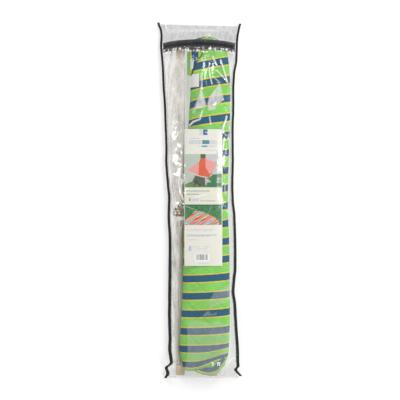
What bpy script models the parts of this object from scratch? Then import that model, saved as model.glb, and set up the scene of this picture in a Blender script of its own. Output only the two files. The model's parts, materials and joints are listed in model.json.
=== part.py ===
"""Packaged spreader-bar hammock: a rolled quilted bed, its two wooden spreader bars and its rope
harness, lying in a long clear zip bag with black edge binding and a loose printed insert card.

Frame: metres, +Z up. The pack lies on its back. X runs across the bag, +Y towards the zip end, and
the origin is at the middle of the underside.
"""

import bmesh
import bpy
from math import atan2, cos, hypot, pi, radians, sin, sqrt
from mathutils import Vector

NAME = "packed_hammock"
GAP = 0.0003                 # clearance left between pieces that touch

# ---- the bag -----------------------------------------------------------------------------------
FILM = 0.0004                # wall of the clear film
FIN_HALF = 0.0006            # half the thickness of the two films pressed together in the seam
TAPE_WIDTH = 0.010           # folded width of the edge binding
TAPE_WALL = 0.0007
ROOT = 0.0065                # from the middle of the binding to where the two films part
BACK_TURN = (0.001, 0.012, 0.35)         # X steps in from the root, and Z share, where the back turns
BAG_CURVE = 2.3              # exponent of the rounded front of the bag
FRONT_COLUMNS = 14
# Stations from the zip end to the foot: Y, left seam X, right seam X, seam Z, crown Z of the front.
STATIONS = [
    (0.748, -0.1730, 0.1690, 0.009, 0.015),
    (0.728, -0.1670, 0.1650, 0.014, 0.040),
    (0.704, -0.1640, 0.1600, 0.022, 0.078),
    (0.590, -0.1600, 0.1540, 0.034, 0.112),
    (0.540, -0.1570, 0.1450, 0.036, 0.119),
    (0.470, -0.1540, 0.1415, 0.036, 0.125),
    (0.400, -0.1490, 0.1415, 0.036, 0.128),
    (0.320, -0.1465, 0.1390, 0.036, 0.130),
    (0.230, -0.1430, 0.1390, 0.036, 0.130),
    (0.149, -0.1430, 0.1390, 0.036, 0.130),
    (0.064, -0.1360, 0.1375, 0.036, 0.130),
    (0.000, -0.1310, 0.1390, 0.036, 0.130),
    (-0.064, -0.1330, 0.1455, 0.036, 0.130),
    (-0.171, -0.1280, 0.1490, 0.036, 0.130),
    (-0.299, -0.1285, 0.1490, 0.036, 0.130),
    (-0.385, -0.1295, 0.1410, 0.036, 0.128),
    (-0.444, -0.1300, 0.1480, 0.036, 0.127),
    (-0.512, -0.1300, 0.1515, 0.036, 0.125),
    (-0.580, -0.1280, 0.1560, 0.036, 0.123),
    (-0.640, -0.1300, 0.1600, 0.036, 0.120),
    (-0.690, -0.1260, 0.1600, 0.034, 0.113),
    (-0.722, -0.1400, 0.1520, 0.030, 0.103),
    (-0.745, -0.1390, 0.1590, 0.022, 0.089),
    (-0.756, -0.1420, 0.1640, 0.018, 0.068),
]
TAIL_TOP = (0.760, 0.003)    # Y of the binding's loose ends past the film, and how far they splay
TAIL_FOOT = (-0.760, 0.004)

# ---- the zip, an arc over the bed in a plane that leans towards the zip end ----------------------
ZIP_Y = 0.652
ZIP_SEAM = (-0.1655, 0.1565, 0.030)      # left X, right X and Z of the seams beside the zip
ZIP_RISE = 0.070                         # height of the arc above its chord, in its own plane
ZIP_LEAN = radians(4.5)
SLOT = {"upper": 0.0185, "lower": 0.0240}  # from the middle of the zip to each film edge
TEETH_GAP_HALF = 0.0008                  # half the gap that the slider's neck runs in
COIL_WIDTH = 0.0022
COIL_HALF = 0.0011                       # half the coil's thickness
TAPE_HALF = 0.0003                       # half the zip tape's thickness
ZIP_STEPS = 18
ZIP_MARGIN = radians(4.0)                # from the seam to the end of the zip tape
STOP_SPAN = radians(1.2)
STOP_GAP = radians(0.2)
SLIDER_SIZE = (0.013, 0.011, 0.0014)     # length, width and plate thickness
PULL_SIZE = (0.030, 0.009, 0.0012)

# ---- the rolled bed ----------------------------------------------------------------------------
BED_FLOOR = 0.003
BED_SIDES = 28
# Stations from the zip end to the foot: Y, left X, right X, top Z.
BED_STATIONS = [
    (0.692, -0.028, 0.100, 0.080),
    (0.676, -0.040, 0.107, 0.085),
    (0.640, -0.045, 0.1105, 0.089),
    (0.574, -0.041, 0.1175, 0.099),
    (0.470, -0.038, 0.1245, 0.110),
    (0.360, -0.046, 0.1245, 0.117),
    (0.200, -0.056, 0.1215, 0.119),
    (0.000, -0.064, 0.1165, 0.119),
    (-0.200, -0.069, 0.1245, 0.119),
    (-0.400, -0.073, 0.1260, 0.117),
    (-0.560, -0.079, 0.1240, 0.114),
    (-0.640, -0.081, 0.1205, 0.111),
    (-0.700, -0.074, 0.108, 0.101),
    (-0.735, -0.066, 0.102, 0.085),
    (-0.747, -0.050, 0.098, 0.078),
]
CORE_CENTRE = (0.054, 0.050)             # X and Z of the opening down the middle of the roll
CORE_HALF = (0.040, 0.026)
QUILT = 0.003                            # thickness of a single layer of the quilted cloth

# Sheets that lie on the roll: X range, Y range, lift above it and thickness.
CORNER_FLAP = ((-0.053, 0.000), (0.536, 0.632), 0.0012, QUILT)
CARE_LABEL = ((-0.049, -0.003), (0.474, 0.532), 0.0008, 0.0006)
END_FLAP = ((-0.020, 0.090), (-0.734, -0.694), 0.0012, QUILT)

# ---- the insert card ---------------------------------------------------------------------------
CARD_X = (-0.0654, 0.0936)
CARD_Y = (-0.2755, 0.2965)
CARD_THICKNESS = 0.0008
CARD_ARCH = (0.008, 0.126, 0.036, 0.0875)     # centre X, half span, base Z and rise of its curve
CARD_STEPS = 14

# ---- bars, rings and harness ---------------------------------------------------------------------
BAR_SECTION = (0.038, 0.020)
BAR_OUTER = (-0.084, 0.0125, -0.750, 0.645)   # X, Z, and Y of the two ends
BAR_INNER = (0.054, 0.040, -0.7495, 0.640)
RING_RADIUS = 0.040                           # of the half-round steel ring, at its rod's middle
RING_ROD = 0.0035
RING_STEPS = 14
RING_CORNER = Vector((-0.112, -0.064, 0.054))  # left end of the outer ring's straight side
RING_TILT = radians(38)
CORD_RADIUS = 0.0023
CORDS = 4                                     # cords on each side of the ring
LANE_STEP = 0.0050
LANE_FIRST = 0.0096                           # radius of the tightest fold of a cord
CORD_LIFT = GAP + CORD_RADIUS                 # cords lie on top of the outer bar
CORD_Z = BAR_OUTER[1] + BAR_SECTION[1] / 2 + CORD_LIFT
GRIP_STRAIGHT = 0.014                         # straight run of a cord where it meets the ring
FAN_REACH = 0.060                             # where the cord beside the seam leaves its lane
FAN_STEP = 0.016
HARNESS_REACH = 0.600                         # from the bar to the ring when it is in use
UPPER_HOLES = (0.120, 0.260, 0.400, 0.540)    # Y of each cord's hole in the bar
LOWER_HOLES = (-0.140, -0.270, -0.400, -0.530)
UPPER_LANES_X = -0.097
LOWER_LANES_X = -0.0925
HANK_HALF = 0.0033              # half the thickness of a hank of the harness's further cords
HANK_Z = 0.0352                 # middle of a hank, over the humps of the cords
HANKS = {                       # left X, right X, and Y of the two ends
    "upper": (-0.1085, -0.0665, 0.588, 0.086),
    "lower": (-0.1085, -0.0755, -0.182, -0.690),
}

COLOURS = {
    "clear_film": ((0.86, 0.87, 0.87), 0.12, 0.0),
    "black_webbing": ((0.02, 0.02, 0.02), 0.75, 0.0),
    "black_metal": ((0.03, 0.03, 0.03), 0.35, 0.9),
    "bed_cloth": ((0.24, 0.60, 0.16), 0.85, 0.0),
    "rope": ((0.83, 0.80, 0.74), 0.90, 0.0),
    "wood": ((0.56, 0.42, 0.26), 0.60, 0.0),
    "steel": ((0.55, 0.55, 0.56), 0.25, 1.0),
    "card": ((0.86, 0.84, 0.77), 0.55, 0.0),
}


def clear_scene():
    """Empty the scene."""
    for item in list(bpy.data.objects):
        bpy.data.objects.remove(item, do_unlink=True)
    for group in list(bpy.data.collections):
        bpy.data.collections.remove(group)


def collection(name):
    """A new collection under the scene's own."""
    group = bpy.data.collections.new(name)
    bpy.context.scene.collection.children.link(group)
    return group


def material(finish, name):
    """A Principled material of one finish, for one sub-part."""
    colour, roughness, metallic = COLOURS[finish]
    made = bpy.data.materials.new(name + "_" + finish)
    made.use_nodes = True
    shader = made.node_tree.nodes["Principled BSDF"]
    shader.inputs["Base Color"].default_value = (*colour, 1)
    shader.inputs["Roughness"].default_value = roughness
    shader.inputs["Metallic"].default_value = metallic
    made.diffuse_color = (*colour, 1)
    return made


def add_piece(name, data, finish, group):
    """Put finished mesh or curve data in the scene as a named sub-part."""
    piece = bpy.data.objects.new(name, data)
    data.materials.append(material(finish, name))
    group.objects.link(piece)
    return piece


def loft_mesh(name, sections, skipped=frozenset()):
    """A skin over closed sections of equal length, with flat ends; skipped quads stay open."""
    count = len(sections[0])
    points = [point for section in sections for point in section]
    faces = [tuple(range(count))]
    for i in range(len(sections) - 1):
        for j in range(count):
            if (i, j) not in skipped:
                k = (j + 1) % count
                low, high = i * count, (i + 1) * count
                faces.append((low + j, high + j, high + k, low + k))
    last = (len(sections) - 1) * count
    faces.append(tuple(range(last + count - 1, last - 1, -1)))
    mesh = bpy.data.meshes.new(name)
    mesh.from_pydata(points, [], faces)
    if not skipped:
        shell = bmesh.new()
        shell.from_mesh(mesh)
        bmesh.ops.recalc_face_normals(shell, faces=shell.faces)
        shell.to_mesh(mesh)
        shell.free()
    return mesh


def loft(name, sections, finish, group, skipped=frozenset()):
    """A lofted sub-part, shaded smooth up to its sharp edges."""
    mesh = loft_mesh(name, sections, skipped)
    mesh.shade_smooth()
    mesh.set_sharp_from_angle(angle=radians(40))
    return add_piece(name, mesh, finish, group)


def between(table, y):
    """The row of a station table at Y, by straight interpolation down the table."""
    for above, below in zip(table, table[1:]):
        if above[0] >= y >= below[0]:
            share = (above[0] - y) / (above[0] - below[0])
            return [a + (b - a) * share for a, b in zip(above[1:], below[1:])]
    return list(table[0][1:] if y > table[0][0] else table[-1][1:])


# ---- the bag -------------------------------------------------------------------------------------


class ZipArc:
    """The circle that the zip follows, and places on it: angle along, side across, lift outwards."""

    left, right, seam_z = ZIP_SEAM
    middle = (left + right) / 2
    half_chord = (right - left) / 2 - ROOT
    radius = (half_chord ** 2 + ZIP_RISE ** 2) / (2 * ZIP_RISE)
    drop = ZIP_RISE - radius
    reach = atan2(half_chord, -drop)
    up = Vector((0, sin(ZIP_LEAN), cos(ZIP_LEAN)))
    across = Vector((0, cos(ZIP_LEAN), -sin(ZIP_LEAN)))
    chord = Vector((middle, ZIP_Y, seam_z))
    centre = chord + up * drop

    @classmethod
    def at(cls, angle, side, lift):
        """The point at an angle from the crown, a side step across the zip and a lift."""
        out = Vector((sin(angle), 0, 0)) + cls.up * cos(angle)
        return cls.centre + out * (cls.radius + lift) + cls.across * side


def front_point(station, share):
    """A point on the bag's rounded front, share 0 at the left seam and 1 at the right."""
    y, left, right, seam, crown = station
    half = (right - left) / 2 - ROOT
    turn = pi * (1 - share)
    x = abs(cos(turn)) ** (2 / BAG_CURVE) * (1 if cos(turn) > 0 else -1)
    rise = max(sin(turn), 0) ** (2 / BAG_CURVE)
    return Vector(((left + right) / 2 + half * x, y, seam + FIN_HALF + (crown - seam - FIN_HALF) * rise))


def zip_front_point(side, share):
    """A point on the film's edge beside the zip, between the narrow strips left at its ends."""
    angle = (ZipArc.reach - ZIP_MARGIN + radians(0.3)) * (2 * share - 1)
    return ZipArc.at(angle, side, 0)


def bag_section(station, side=None):
    """One closed section of the bag's outer skin: front, right seam, back, left seam."""
    y, left, right, seam, _ = station
    section = [front_point(station, j / FRONT_COLUMNS) for j in range(FRONT_COLUMNS + 1)]
    if side is not None:
        inner = FRONT_COLUMNS - 2
        section[1:-1] = [zip_front_point(side, j / inner) for j in range(inner + 1)]
    tip = TAPE_WIDTH / 2 - TAPE_WALL - GAP
    inner_left, inner_right = left + ROOT, right - ROOT
    step, inset, share = BACK_TURN
    section += [
        Vector((right + tip, y, seam + FIN_HALF)),
        Vector((right + tip, y, seam - FIN_HALF)),
        Vector((inner_right, y, seam - FIN_HALF)),
        Vector((inner_right - step, y, seam * share)),
        Vector((inner_right - inset, y, 0)),
        Vector((inner_left + inset, y, 0)),
        Vector((inner_left + step, y, seam * share)),
        Vector((inner_left, y, seam - FIN_HALF)),
        Vector((left - tip, y, seam - FIN_HALF)),
        Vector((left - tip, y, seam + FIN_HALF)),
    ]
    return section


def seam_stations():
    """The bag's stations with the two beside the zip slotted in, each with its side of the zip."""
    left, right, seam = ZIP_SEAM
    rows = []
    for station in STATIONS:
        if station[0] < ZIP_Y and rows[-1][1] is None and rows[-1][0][0] > ZIP_Y:
            lift = ZIP_RISE * cos(ZIP_LEAN)
            for side in (SLOT["upper"], -SLOT["lower"]):
                rows.append(((ZIP_Y + side, left, right, seam, seam + lift), side))
        rows.append((station, None))
    return rows


def build_film(group):
    """The clear film, one skin folded over at both ends and slit across the front for the zip."""
    rows = seam_stations()
    slot = [i for i, (_, side) in enumerate(rows) if side == SLOT["upper"]][0]
    open_quads = {(slot, j) for j in range(1, FRONT_COLUMNS - 1)}
    sections = [bag_section(station, side) for station, side in rows]
    film = loft("bag_film", sections, "clear_film", group, open_quads)
    wall = film.modifiers.new("wall", "SOLIDIFY")
    wall.thickness = FILM
    wall.offset = -1
    wall.use_even_offset = True
    return film


def build_binding(name, column, splay_sign, group):
    """A woven tape folded over one long seam, its two ends left long past the film."""
    rows = [station for station, _ in seam_stations()]
    path = [(row[column], row[0], row[3]) for row in rows]
    for (y, splay), end in ((TAIL_TOP, 0), (TAIL_FOOT, -1)):
        near = path[end]
        tail = (near[0] + splay_sign * splay, y, near[2] * 0.8)
        path.insert(0 if end == 0 else len(path), tail)
    half = TAPE_WIDTH / 2
    inner = FIN_HALF + GAP
    outer = inner + TAPE_WALL
    back = half - TAPE_WALL
    outline = [(-half, -outer), (half, -outer), (half, outer), (-half, outer)]
    outline += [(-half, inner), (back, inner), (back, -inner), (-half, -inner)]
    sections = []
    for x, y, z in path:
        sections.append([Vector((x + splay_sign * u, y, z + v)) for u, v in outline])
    return loft(name, sections, "black_webbing", group)


# ---- the zip -------------------------------------------------------------------------------------


def arc_bar(name, start, stop, sides, lifts, finish, group, steps=ZIP_STEPS):
    """A rectangular bar that follows the zip's arc from one angle to another."""
    sections = []
    for i in range(steps + 1):
        angle = start + (stop - start) * i / steps
        corners = [(sides[0], lifts[0]), (sides[0], lifts[1]), (sides[1], lifts[1]), (sides[1], lifts[0])]
        sections.append([ZipArc.at(angle, side, lift) for side, lift in corners])
    return loft(name, sections, finish, group)


def build_zip_track(group):
    """Both tapes, both rows of teeth and the two end stops."""
    limit = ZipArc.reach - ZIP_MARGIN
    teeth = TEETH_GAP_HALF + COIL_WIDTH
    for side, name in ((1, "upper"), (-1, "lower")):
        tape = sorted((side * (teeth + GAP), side * (SLOT[name] - GAP)))
        coil = sorted((side * TEETH_GAP_HALF, side * teeth))
        arc_bar("zip_tape_" + name, -limit, limit, tape, (-TAPE_HALF, TAPE_HALF), "black_webbing", group)
        run = limit - STOP_SPAN - STOP_GAP
        arc_bar("zip_teeth_" + name, -run, run, coil, (-COIL_HALF, COIL_HALF), "black_webbing", group)
    for sign, name in ((-1, "left"), (1, "right")):
        near, far = limit - STOP_SPAN, limit
        span = sorted((sign * near, sign * far))
        arc_bar("zip_stop_" + name, *span, (-teeth, teeth), (-COIL_HALF, COIL_HALF), "black_metal", group, 1)


def slider_angle():
    """Where the slider rests: closed, against the right-hand stop."""
    half_length = SLIDER_SIZE[0] / 2
    return ZipArc.reach - ZIP_MARGIN - STOP_SPAN - (half_length + 0.001) / ZipArc.radius


def zip_frame(angle):
    """Unit vectors along the zip, across it and outwards, at an angle."""
    along = Vector((cos(angle), 0, 0)) - ZipArc.up * sin(angle)
    out = Vector((sin(angle), 0, 0)) + ZipArc.up * cos(angle)
    return along, ZipArc.across, out


def zip_prism(name, outline, axis_from, axis_to, place, finish, group):
    """A straight prism near the slider: outline and axis given by a place function."""
    sections = [[place(depth, u, v) for u, v in outline] for depth in (axis_from, axis_to)]
    return loft(name, sections, finish, group)


def build_slider(group):
    """The slider, two plates and a neck between the rows of teeth with a bridge for the pull."""
    angle = slider_angle()
    along, across, out = zip_frame(angle)
    origin = ZipArc.at(angle, 0, 0)
    length, width, plate = SLIDER_SIZE
    clear = COIL_HALF + 0.0006
    neck = TEETH_GAP_HALF - GAP
    top, half = clear + plate, width / 2

    def place_side(depth, u, v):
        return origin + along * depth + across * u + out * v

    outline = [(-half, clear), (-neck, clear), (-neck, -clear), (-half, -clear), (-half, -top)]
    outline += [(half, -top), (half, -clear), (neck, -clear), (neck, clear), (half, clear)]
    outline += [(half, top), (-half, top)]
    body = zip_prism("zip_slider", outline, length / 2, -length / 2, place_side, "black_metal", group)

    def place_bridge(depth, u, v):
        return origin + across * depth + along * u + out * (top + v)

    foot, tall, wall = 0.0045, 0.0042, 0.0012
    arch = [(-foot, -plate / 2), (-foot, tall), (foot, tall), (foot, -plate / 2)]
    arch += [(foot - wall, -plate / 2), (foot - wall, tall - wall)]
    arch += [(-foot + wall, tall - wall), (-foot + wall, -plate / 2)]
    bridge = zip_prism("slider_bridge", arch, 0.0015, -0.0015, place_bridge, "black_metal", group)
    union = body.modifiers.new("bridge", "BOOLEAN")
    union.operation = "UNION"
    union.solver = "EXACT"
    union.object = bridge
    return body, bridge, origin + out * (top + 0.0012)


def build_pull(group, pivot):
    """The pull tab: a flat plate with an eye, lying back along the zip from the slider's bridge."""
    angle = slider_angle()
    along, across, out = zip_frame(angle)
    length, width, thick = PULL_SIZE
    half, bar = width / 2, 0.0007
    eye_end, eye_half = 0.0070, half - 0.0022

    def place(depth, u, v):
        return pivot + along * u + across * v + out * depth

    outline = [(bar, -half), (bar, half), (-length, half * 0.8), (-length, -half * 0.8)]
    eye = [(-bar, -eye_half), (-eye_end, -eye_half), (-eye_end, eye_half), (-bar, eye_half)]
    plate = zip_prism("zip_pull", outline, thick / 2, -thick / 2, place, "black_metal", group)
    cutter = zip_prism("pull_eye", eye, thick, -thick, place, "black_metal", group)
    cut = plate.modifiers.new("eye", "BOOLEAN")
    cut.operation = "DIFFERENCE"
    cut.solver = "EXACT"
    cut.object = cutter
    return plate, cutter


# ---- the bed -------------------------------------------------------------------------------------


def bed_section(y, left, right, top):
    """A round-cornered section of the roll."""
    centre, half = (left + right) / 2, (right - left) / 2
    middle, rise = (top + BED_FLOOR) / 2, (top - BED_FLOOR) / 2
    section = []
    for i in range(BED_SIDES):
        turn = 2 * pi * i / BED_SIDES
        section.append(Vector((centre + half * sin(turn), y, middle + rise * cos(turn))))
    return section


def bed_top(x, y):
    """Height of the roll's upper surface, running on down its flank past the roll's side."""
    left, right, top = between(BED_STATIONS, y)
    centre, half = (left + right) / 2, (right - left) / 2
    middle, rise = (top + BED_FLOOR) / 2, (top - BED_FLOOR) / 2
    share = abs(x - centre) / half
    knee = 0.90
    if share <= knee:
        return middle + rise * sqrt(1 - share ** 2)
    edge = sqrt(1 - knee ** 2)
    return middle + rise * (edge - (share - knee) * knee / edge)


def build_bed(group, cutters):
    """The bed rolled into one long soft roll, open down its core."""
    sections = [bed_section(*station) for station in BED_STATIONS]
    roll = loft("hammock_bed", sections, "bed_cloth", group)
    core = []
    for y in (BED_STATIONS[0][0] + 0.02, BED_STATIONS[-1][0] - 0.02):
        ring = []
        for i in range(16):
            turn = 2 * pi * i / 16
            x = CORE_CENTRE[0] + CORE_HALF[0] * sin(turn)
            ring.append(Vector((x, y, CORE_CENTRE[1] + CORE_HALF[1] * cos(turn))))
        core.append(ring)
    cutter = loft("core_cutter", core, "bed_cloth", cutters)
    cut = roll.modifiers.new("core", "BOOLEAN")
    cut.operation = "DIFFERENCE"
    cut.solver = "EXACT"
    cut.object = cutter
    return roll, cutter


def build_layer(name, x_range, y_range, lift, thickness, finish, group, columns=8, rows=4):
    """A thin sheet that lies on the roll, lift above its surface."""
    sections = []
    for i in range(rows + 1):
        y = y_range[1] + (y_range[0] - y_range[1]) * i / rows
        xs = [x_range[0] + (x_range[1] - x_range[0]) * j / columns for j in range(columns + 1)]
        upper = [Vector((x, y, bed_top(x, y) + lift + thickness)) for x in xs]
        lower = [Vector((x, y, bed_top(x, y) + lift)) for x in reversed(xs)]
        sections.append(upper + lower)
    return loft(name, sections, finish, group)


def build_card(group):
    """The printed insert card, bent over the roll under the film."""
    centre, half, base, rise = CARD_ARCH

    def height(x):
        share = abs(x - centre) / half
        return base + rise * (1 - share ** BAG_CURVE) ** (1 / BAG_CURVE)

    xs = [CARD_X[0] + (CARD_X[1] - CARD_X[0]) * j / CARD_STEPS for j in range(CARD_STEPS + 1)]
    sections = []
    for y in (CARD_Y[1], CARD_Y[0]):
        upper = [Vector((x, y, height(x))) for x in xs]
        lower = [Vector((x, y, height(x) - CARD_THICKNESS)) for x in reversed(xs)]
        sections.append(upper + lower)
    return loft("insert_card", sections, "card", group)


# ---- bars, rings and cords -----------------------------------------------------------------------


def build_bar(name, place, group):
    """A wooden spreader bar with rounded edges."""
    x, z, foot, head = place
    bpy.ops.mesh.primitive_cube_add(size=1, location=(0, 0, 0))
    bar = bpy.context.object
    bar.name = bar.data.name = name
    for vertex in bar.data.vertices:
        vertex.co.x *= BAR_SECTION[0]
        vertex.co.y *= head - foot
        vertex.co.z *= BAR_SECTION[1]
    bar.location = (x, (head + foot) / 2, z)
    for owner in list(bar.users_collection):
        owner.objects.unlink(bar)
    group.objects.link(bar)
    bar.data.materials.append(material("wood", name))
    bevel = bar.modifiers.new("edges", "BEVEL")
    bevel.width = 0.003
    bevel.segments = 2
    return bar


def tube(name, points, radius, finish, group, closed=False, resolution=2):
    """A round rod or cord along a line of points."""
    data = bpy.data.curves.new(name, "CURVE")
    data.dimensions = "3D"
    data.bevel_depth = radius
    data.bevel_resolution = resolution
    data.use_fill_caps = not closed
    spline = data.splines.new("POLY")
    spline.points.add(len(points) - 1)
    for slot, point in zip(spline.points, points):
        slot.co = (*point, 1)
    spline.use_cyclic_u = closed
    return add_piece(name, data, finish, group)


def ring_point(corner, along, across, run, rise):
    """A point in a ring's plane: run along its straight side and rise towards its round side."""
    return corner + along * run + across * rise


def ring_path(corner, along, across):
    """The closed line of a half-round ring: its straight side, then its arc."""
    path = [ring_point(corner, along, across, RING_RADIUS * k / 2, 0) for k in range(1, 4)]
    for i in range(RING_STEPS + 1):
        turn = pi * i / RING_STEPS
        run = RING_RADIUS + RING_RADIUS * cos(turn)
        path.append(ring_point(corner, along, across, run, RING_RADIUS * sin(turn)))
    return path


def outer_ring_axes():
    """The outer ring leans up the roll's flank, its straight side towards the foot."""
    return Vector((cos(RING_TILT), 0, sin(RING_TILT))), Vector((0, 1, 0))


def ring_grip(index, upper):
    """Where a cord grips the outer ring: on its arc for an upper cord, on its rod for a lower."""
    along, across = outer_ring_axes()
    rank = CORDS - 1 - index
    if upper:
        turn = radians(150 - 30 * rank)
        run = RING_RADIUS + RING_RADIUS * cos(turn)
        return ring_point(RING_CORNER, along, across, run, RING_RADIUS * sin(turn))
    return ring_point(RING_CORNER, along, across, 0.012 + 0.016 * rank, 0)


def grip_direction(index, upper):
    """The way a cord leaves the outer ring, square to the rod there."""
    if not upper:
        return Vector((0, -1, 0))
    along, across = outer_ring_axes()
    middle = ring_point(RING_CORNER, along, across, RING_RADIUS, 0)
    return (ring_grip(index, upper) - middle).normalized()


def cord_route(index, upper):
    """The route of one outer cord: from its hole in the bar, along it, back in one fold, to the ring."""
    sign = 1 if upper else -1
    hole_y = (UPPER_HOLES if upper else LOWER_HOLES)[index]
    middle = UPPER_LANES_X if upper else LOWER_LANES_X
    radius = LANE_FIRST + LANE_STEP * index
    grip = ring_grip(index, upper)
    length = hypot(HARNESS_REACH, hole_y)
    fold_y = (length + abs(hole_y) + sign * grip.y) / 2 - radius
    out_x, back_x = middle + radius, middle - radius
    bar_top = BAR_OUTER[1] + BAR_SECTION[1] / 2
    rise = [(0, GAP), (0, 0.0025), (0.0015, 0.0048), (0.006, 0.0062), (0.016, 0.0052), (0.030, CORD_LIFT)]
    route = [Vector((out_x, hole_y + sign * step, bar_top + z)) for step, z in rise]
    for i in range(9):
        turn = pi * i / 8
        y = fold_y + radius * sin(turn)
        route.append(Vector((middle + radius * cos(turn), sign * y, CORD_Z)))
    fan = FAN_REACH + FAN_STEP * (CORDS - 1 - index)
    lane_end = Vector((back_x, grip.y + sign * fan, CORD_Z))
    away = grip_direction(index, upper)
    last = grip + away * (RING_ROD + 0.0008)
    straight = grip + away * GRIP_STRAIGHT
    route += [Vector((back_x, grip.y + sign * (fan + 0.025), CORD_Z)), lane_end]
    route += [lane_end.lerp(straight, share) for share in (0.2, 0.5, 0.8)]
    route += [straight, last]
    return route


def build_harness(group):
    """The outer ring and its cords, and the inner ring and cords inside the roll."""
    tube("harness_ring_outer", ring_path(RING_CORNER, *outer_ring_axes()), RING_ROD, "steel", group, True)
    for upper, name in ((True, "upper"), (False, "lower")):
        for index in range(CORDS):
            label = "harness_cord_" + name + "_" + str(index + 1)
            tube(label, cord_route(index, upper), CORD_RADIUS, "rope", group)
    flat_z = CORE_CENTRE[1] + 0.0075
    corner = Vector((CORE_CENTRE[0] - 0.018, -0.040, flat_z))
    path = ring_path(corner, Vector((0, 1, 0)), Vector((1, 0, 0)))
    tube("harness_ring_inner", path, RING_ROD, "steel", group, True)
    for name, (left, right, y_from, y_to) in HANKS.items():
        sections = []
        for y in (y_from, y_to):
            corners = [(left, -HANK_HALF), (left, HANK_HALF), (right, HANK_HALF), (right, -HANK_HALF)]
            sections.append([Vector((x, y, HANK_Z + rise)) for x, rise in corners])
        loft("outer_hank_" + name, sections, "rope", group)
    for name, y_from, y_to in (("upper", 0.560, 0.050), ("lower", -0.050, -0.600)):
        sections = []
        for i in range(5):
            y = y_from + (y_to - y_from) * i / 4
            hank = []
            for k in range(12):
                turn = 2 * pi * k / 12
                hank.append(Vector((CORE_CENTRE[0] + 0.015 * sin(turn), y, flat_z + 0.004 * cos(turn))))
            sections.append(hank)
        loft("inner_cords_" + name, sections, "rope", group)


def hang(piece, axis_name, point, group):
    """Parent a moving piece to an empty that stands on its joint's axis."""
    empty = bpy.data.objects.new(axis_name, None)
    empty.empty_display_size = 0.01
    empty.location = point
    group.objects.link(empty)
    bpy.context.view_layer.update()
    piece.parent = empty
    piece.matrix_parent_inverse = empty.matrix_world.inverted()
    return empty


def main():
    """Build every sub-part."""
    clear_scene()
    parts = collection(NAME)
    cutters = collection("cutters")
    build_film(parts)
    build_binding("binding_left", 1, -1, parts)
    build_binding("binding_right", 2, 1, parts)
    build_zip_track(parts)
    slider, bridge, pivot = build_slider(parts)
    pull, eye = build_pull(parts, pivot)
    roll, core = build_bed(parts, cutters)
    build_layer("bed_corner_flap", *CORNER_FLAP, "bed_cloth", parts)
    build_layer("care_label", *CARE_LABEL, "card", parts)
    build_layer("bed_end_flap", *END_FLAP, "bed_cloth", parts)
    card = build_card(parts)
    slider_axis = hang(slider, "slider_axis", ZipArc.centre, parts)
    pull_axis = hang(pull, "pull_axis", pivot, parts)
    pull_axis.parent = slider_axis
    pull_axis.matrix_parent_inverse = slider_axis.matrix_world.inverted()
    hang(card, "card_guide", (0, 0, 0), parts)
    build_bar("spreader_bar_outer", BAR_OUTER, parts)
    build_bar("spreader_bar_inner", BAR_INNER, parts)
    build_harness(parts)
    for cutter in (bridge, eye, core):
        for owner in list(cutter.users_collection):
            owner.objects.unlink(cutter)
        cutters.objects.link(cutter)
        cutter.hide_render = True
        cutter.display_type = "WIRE"


main()
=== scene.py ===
"""Looks of a packed hammock: a striped bed, its bars and its rope harness in a clear zip bag.

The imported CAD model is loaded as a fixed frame. Every piece here is made in metres in that frame,
rides on one of its bodies, and replaces the plain solid that holds its place.
"""

from __future__ import annotations

import json
import logging
import math
from collections.abc import Callable, Sequence
from dataclasses import dataclass, field
from enum import Enum

import bmesh
import bpy
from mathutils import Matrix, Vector, noise

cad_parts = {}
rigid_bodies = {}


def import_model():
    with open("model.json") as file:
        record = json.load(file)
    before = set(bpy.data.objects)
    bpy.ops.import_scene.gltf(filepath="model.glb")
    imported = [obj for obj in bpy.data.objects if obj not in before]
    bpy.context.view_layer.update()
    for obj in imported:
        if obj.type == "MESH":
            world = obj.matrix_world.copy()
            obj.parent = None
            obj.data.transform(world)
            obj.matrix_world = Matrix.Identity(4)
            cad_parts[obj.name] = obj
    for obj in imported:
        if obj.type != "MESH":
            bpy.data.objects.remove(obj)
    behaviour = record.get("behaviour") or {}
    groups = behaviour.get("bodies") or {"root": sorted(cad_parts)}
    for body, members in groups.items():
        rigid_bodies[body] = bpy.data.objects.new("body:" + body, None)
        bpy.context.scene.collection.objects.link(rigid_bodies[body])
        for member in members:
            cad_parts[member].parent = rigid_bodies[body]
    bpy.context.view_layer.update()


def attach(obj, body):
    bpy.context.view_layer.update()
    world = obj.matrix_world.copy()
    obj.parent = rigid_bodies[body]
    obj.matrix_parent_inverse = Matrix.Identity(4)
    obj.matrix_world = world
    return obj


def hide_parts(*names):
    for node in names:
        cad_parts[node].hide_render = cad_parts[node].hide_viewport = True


LOG = logging.getLogger("packed_hammock")
Form = bmesh.types.BMesh
Material = bpy.types.Material
Piece = bpy.types.Object
Socket = bpy.types.NodeSocket
Place = Callable[[float, float], Vector]
Colour = tuple[float, float, float]
Route = Sequence[tuple[float, float]]
Girth = Callable[[float, float], float]
UP = Vector((0, 0, 1))
ALONG_BAG = Vector((0, 1, 0))
ACROSS_BAG = Vector((1, 0, 0))
SHARP_EDGE = math.radians(50)
SAME_SPOT = 1e-6
SOFT_TAPS = ((0, 0), (0.0022, 0.0014), (-0.0014, 0.0022), (-0.0022, -0.0014), (0.0014, -0.0022))


class Body(str, Enum):
    """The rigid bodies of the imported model."""

    PACK = "pack"
    SLIDER = "slider"
    PULL = "pull"
    CARD = "card"


class Slot(str, Enum):
    """The record's material slots."""

    FILM = "film"
    WEBBING = "webbing"
    TEETH = "zip_teeth"
    METAL = "zip_metal"
    CARD = "card"
    LABEL = "label"
    CLOTH = "bed_cloth"
    WOOD = "wood"
    STEEL = "steel"
    ROPE = "rope"


# ---- small sums ----------------------------------------------------------------------------------


def mix(low: float, high: float, share: float) -> float:
    """The value a share of the way from low to high."""
    return low + (high - low) * share


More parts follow.
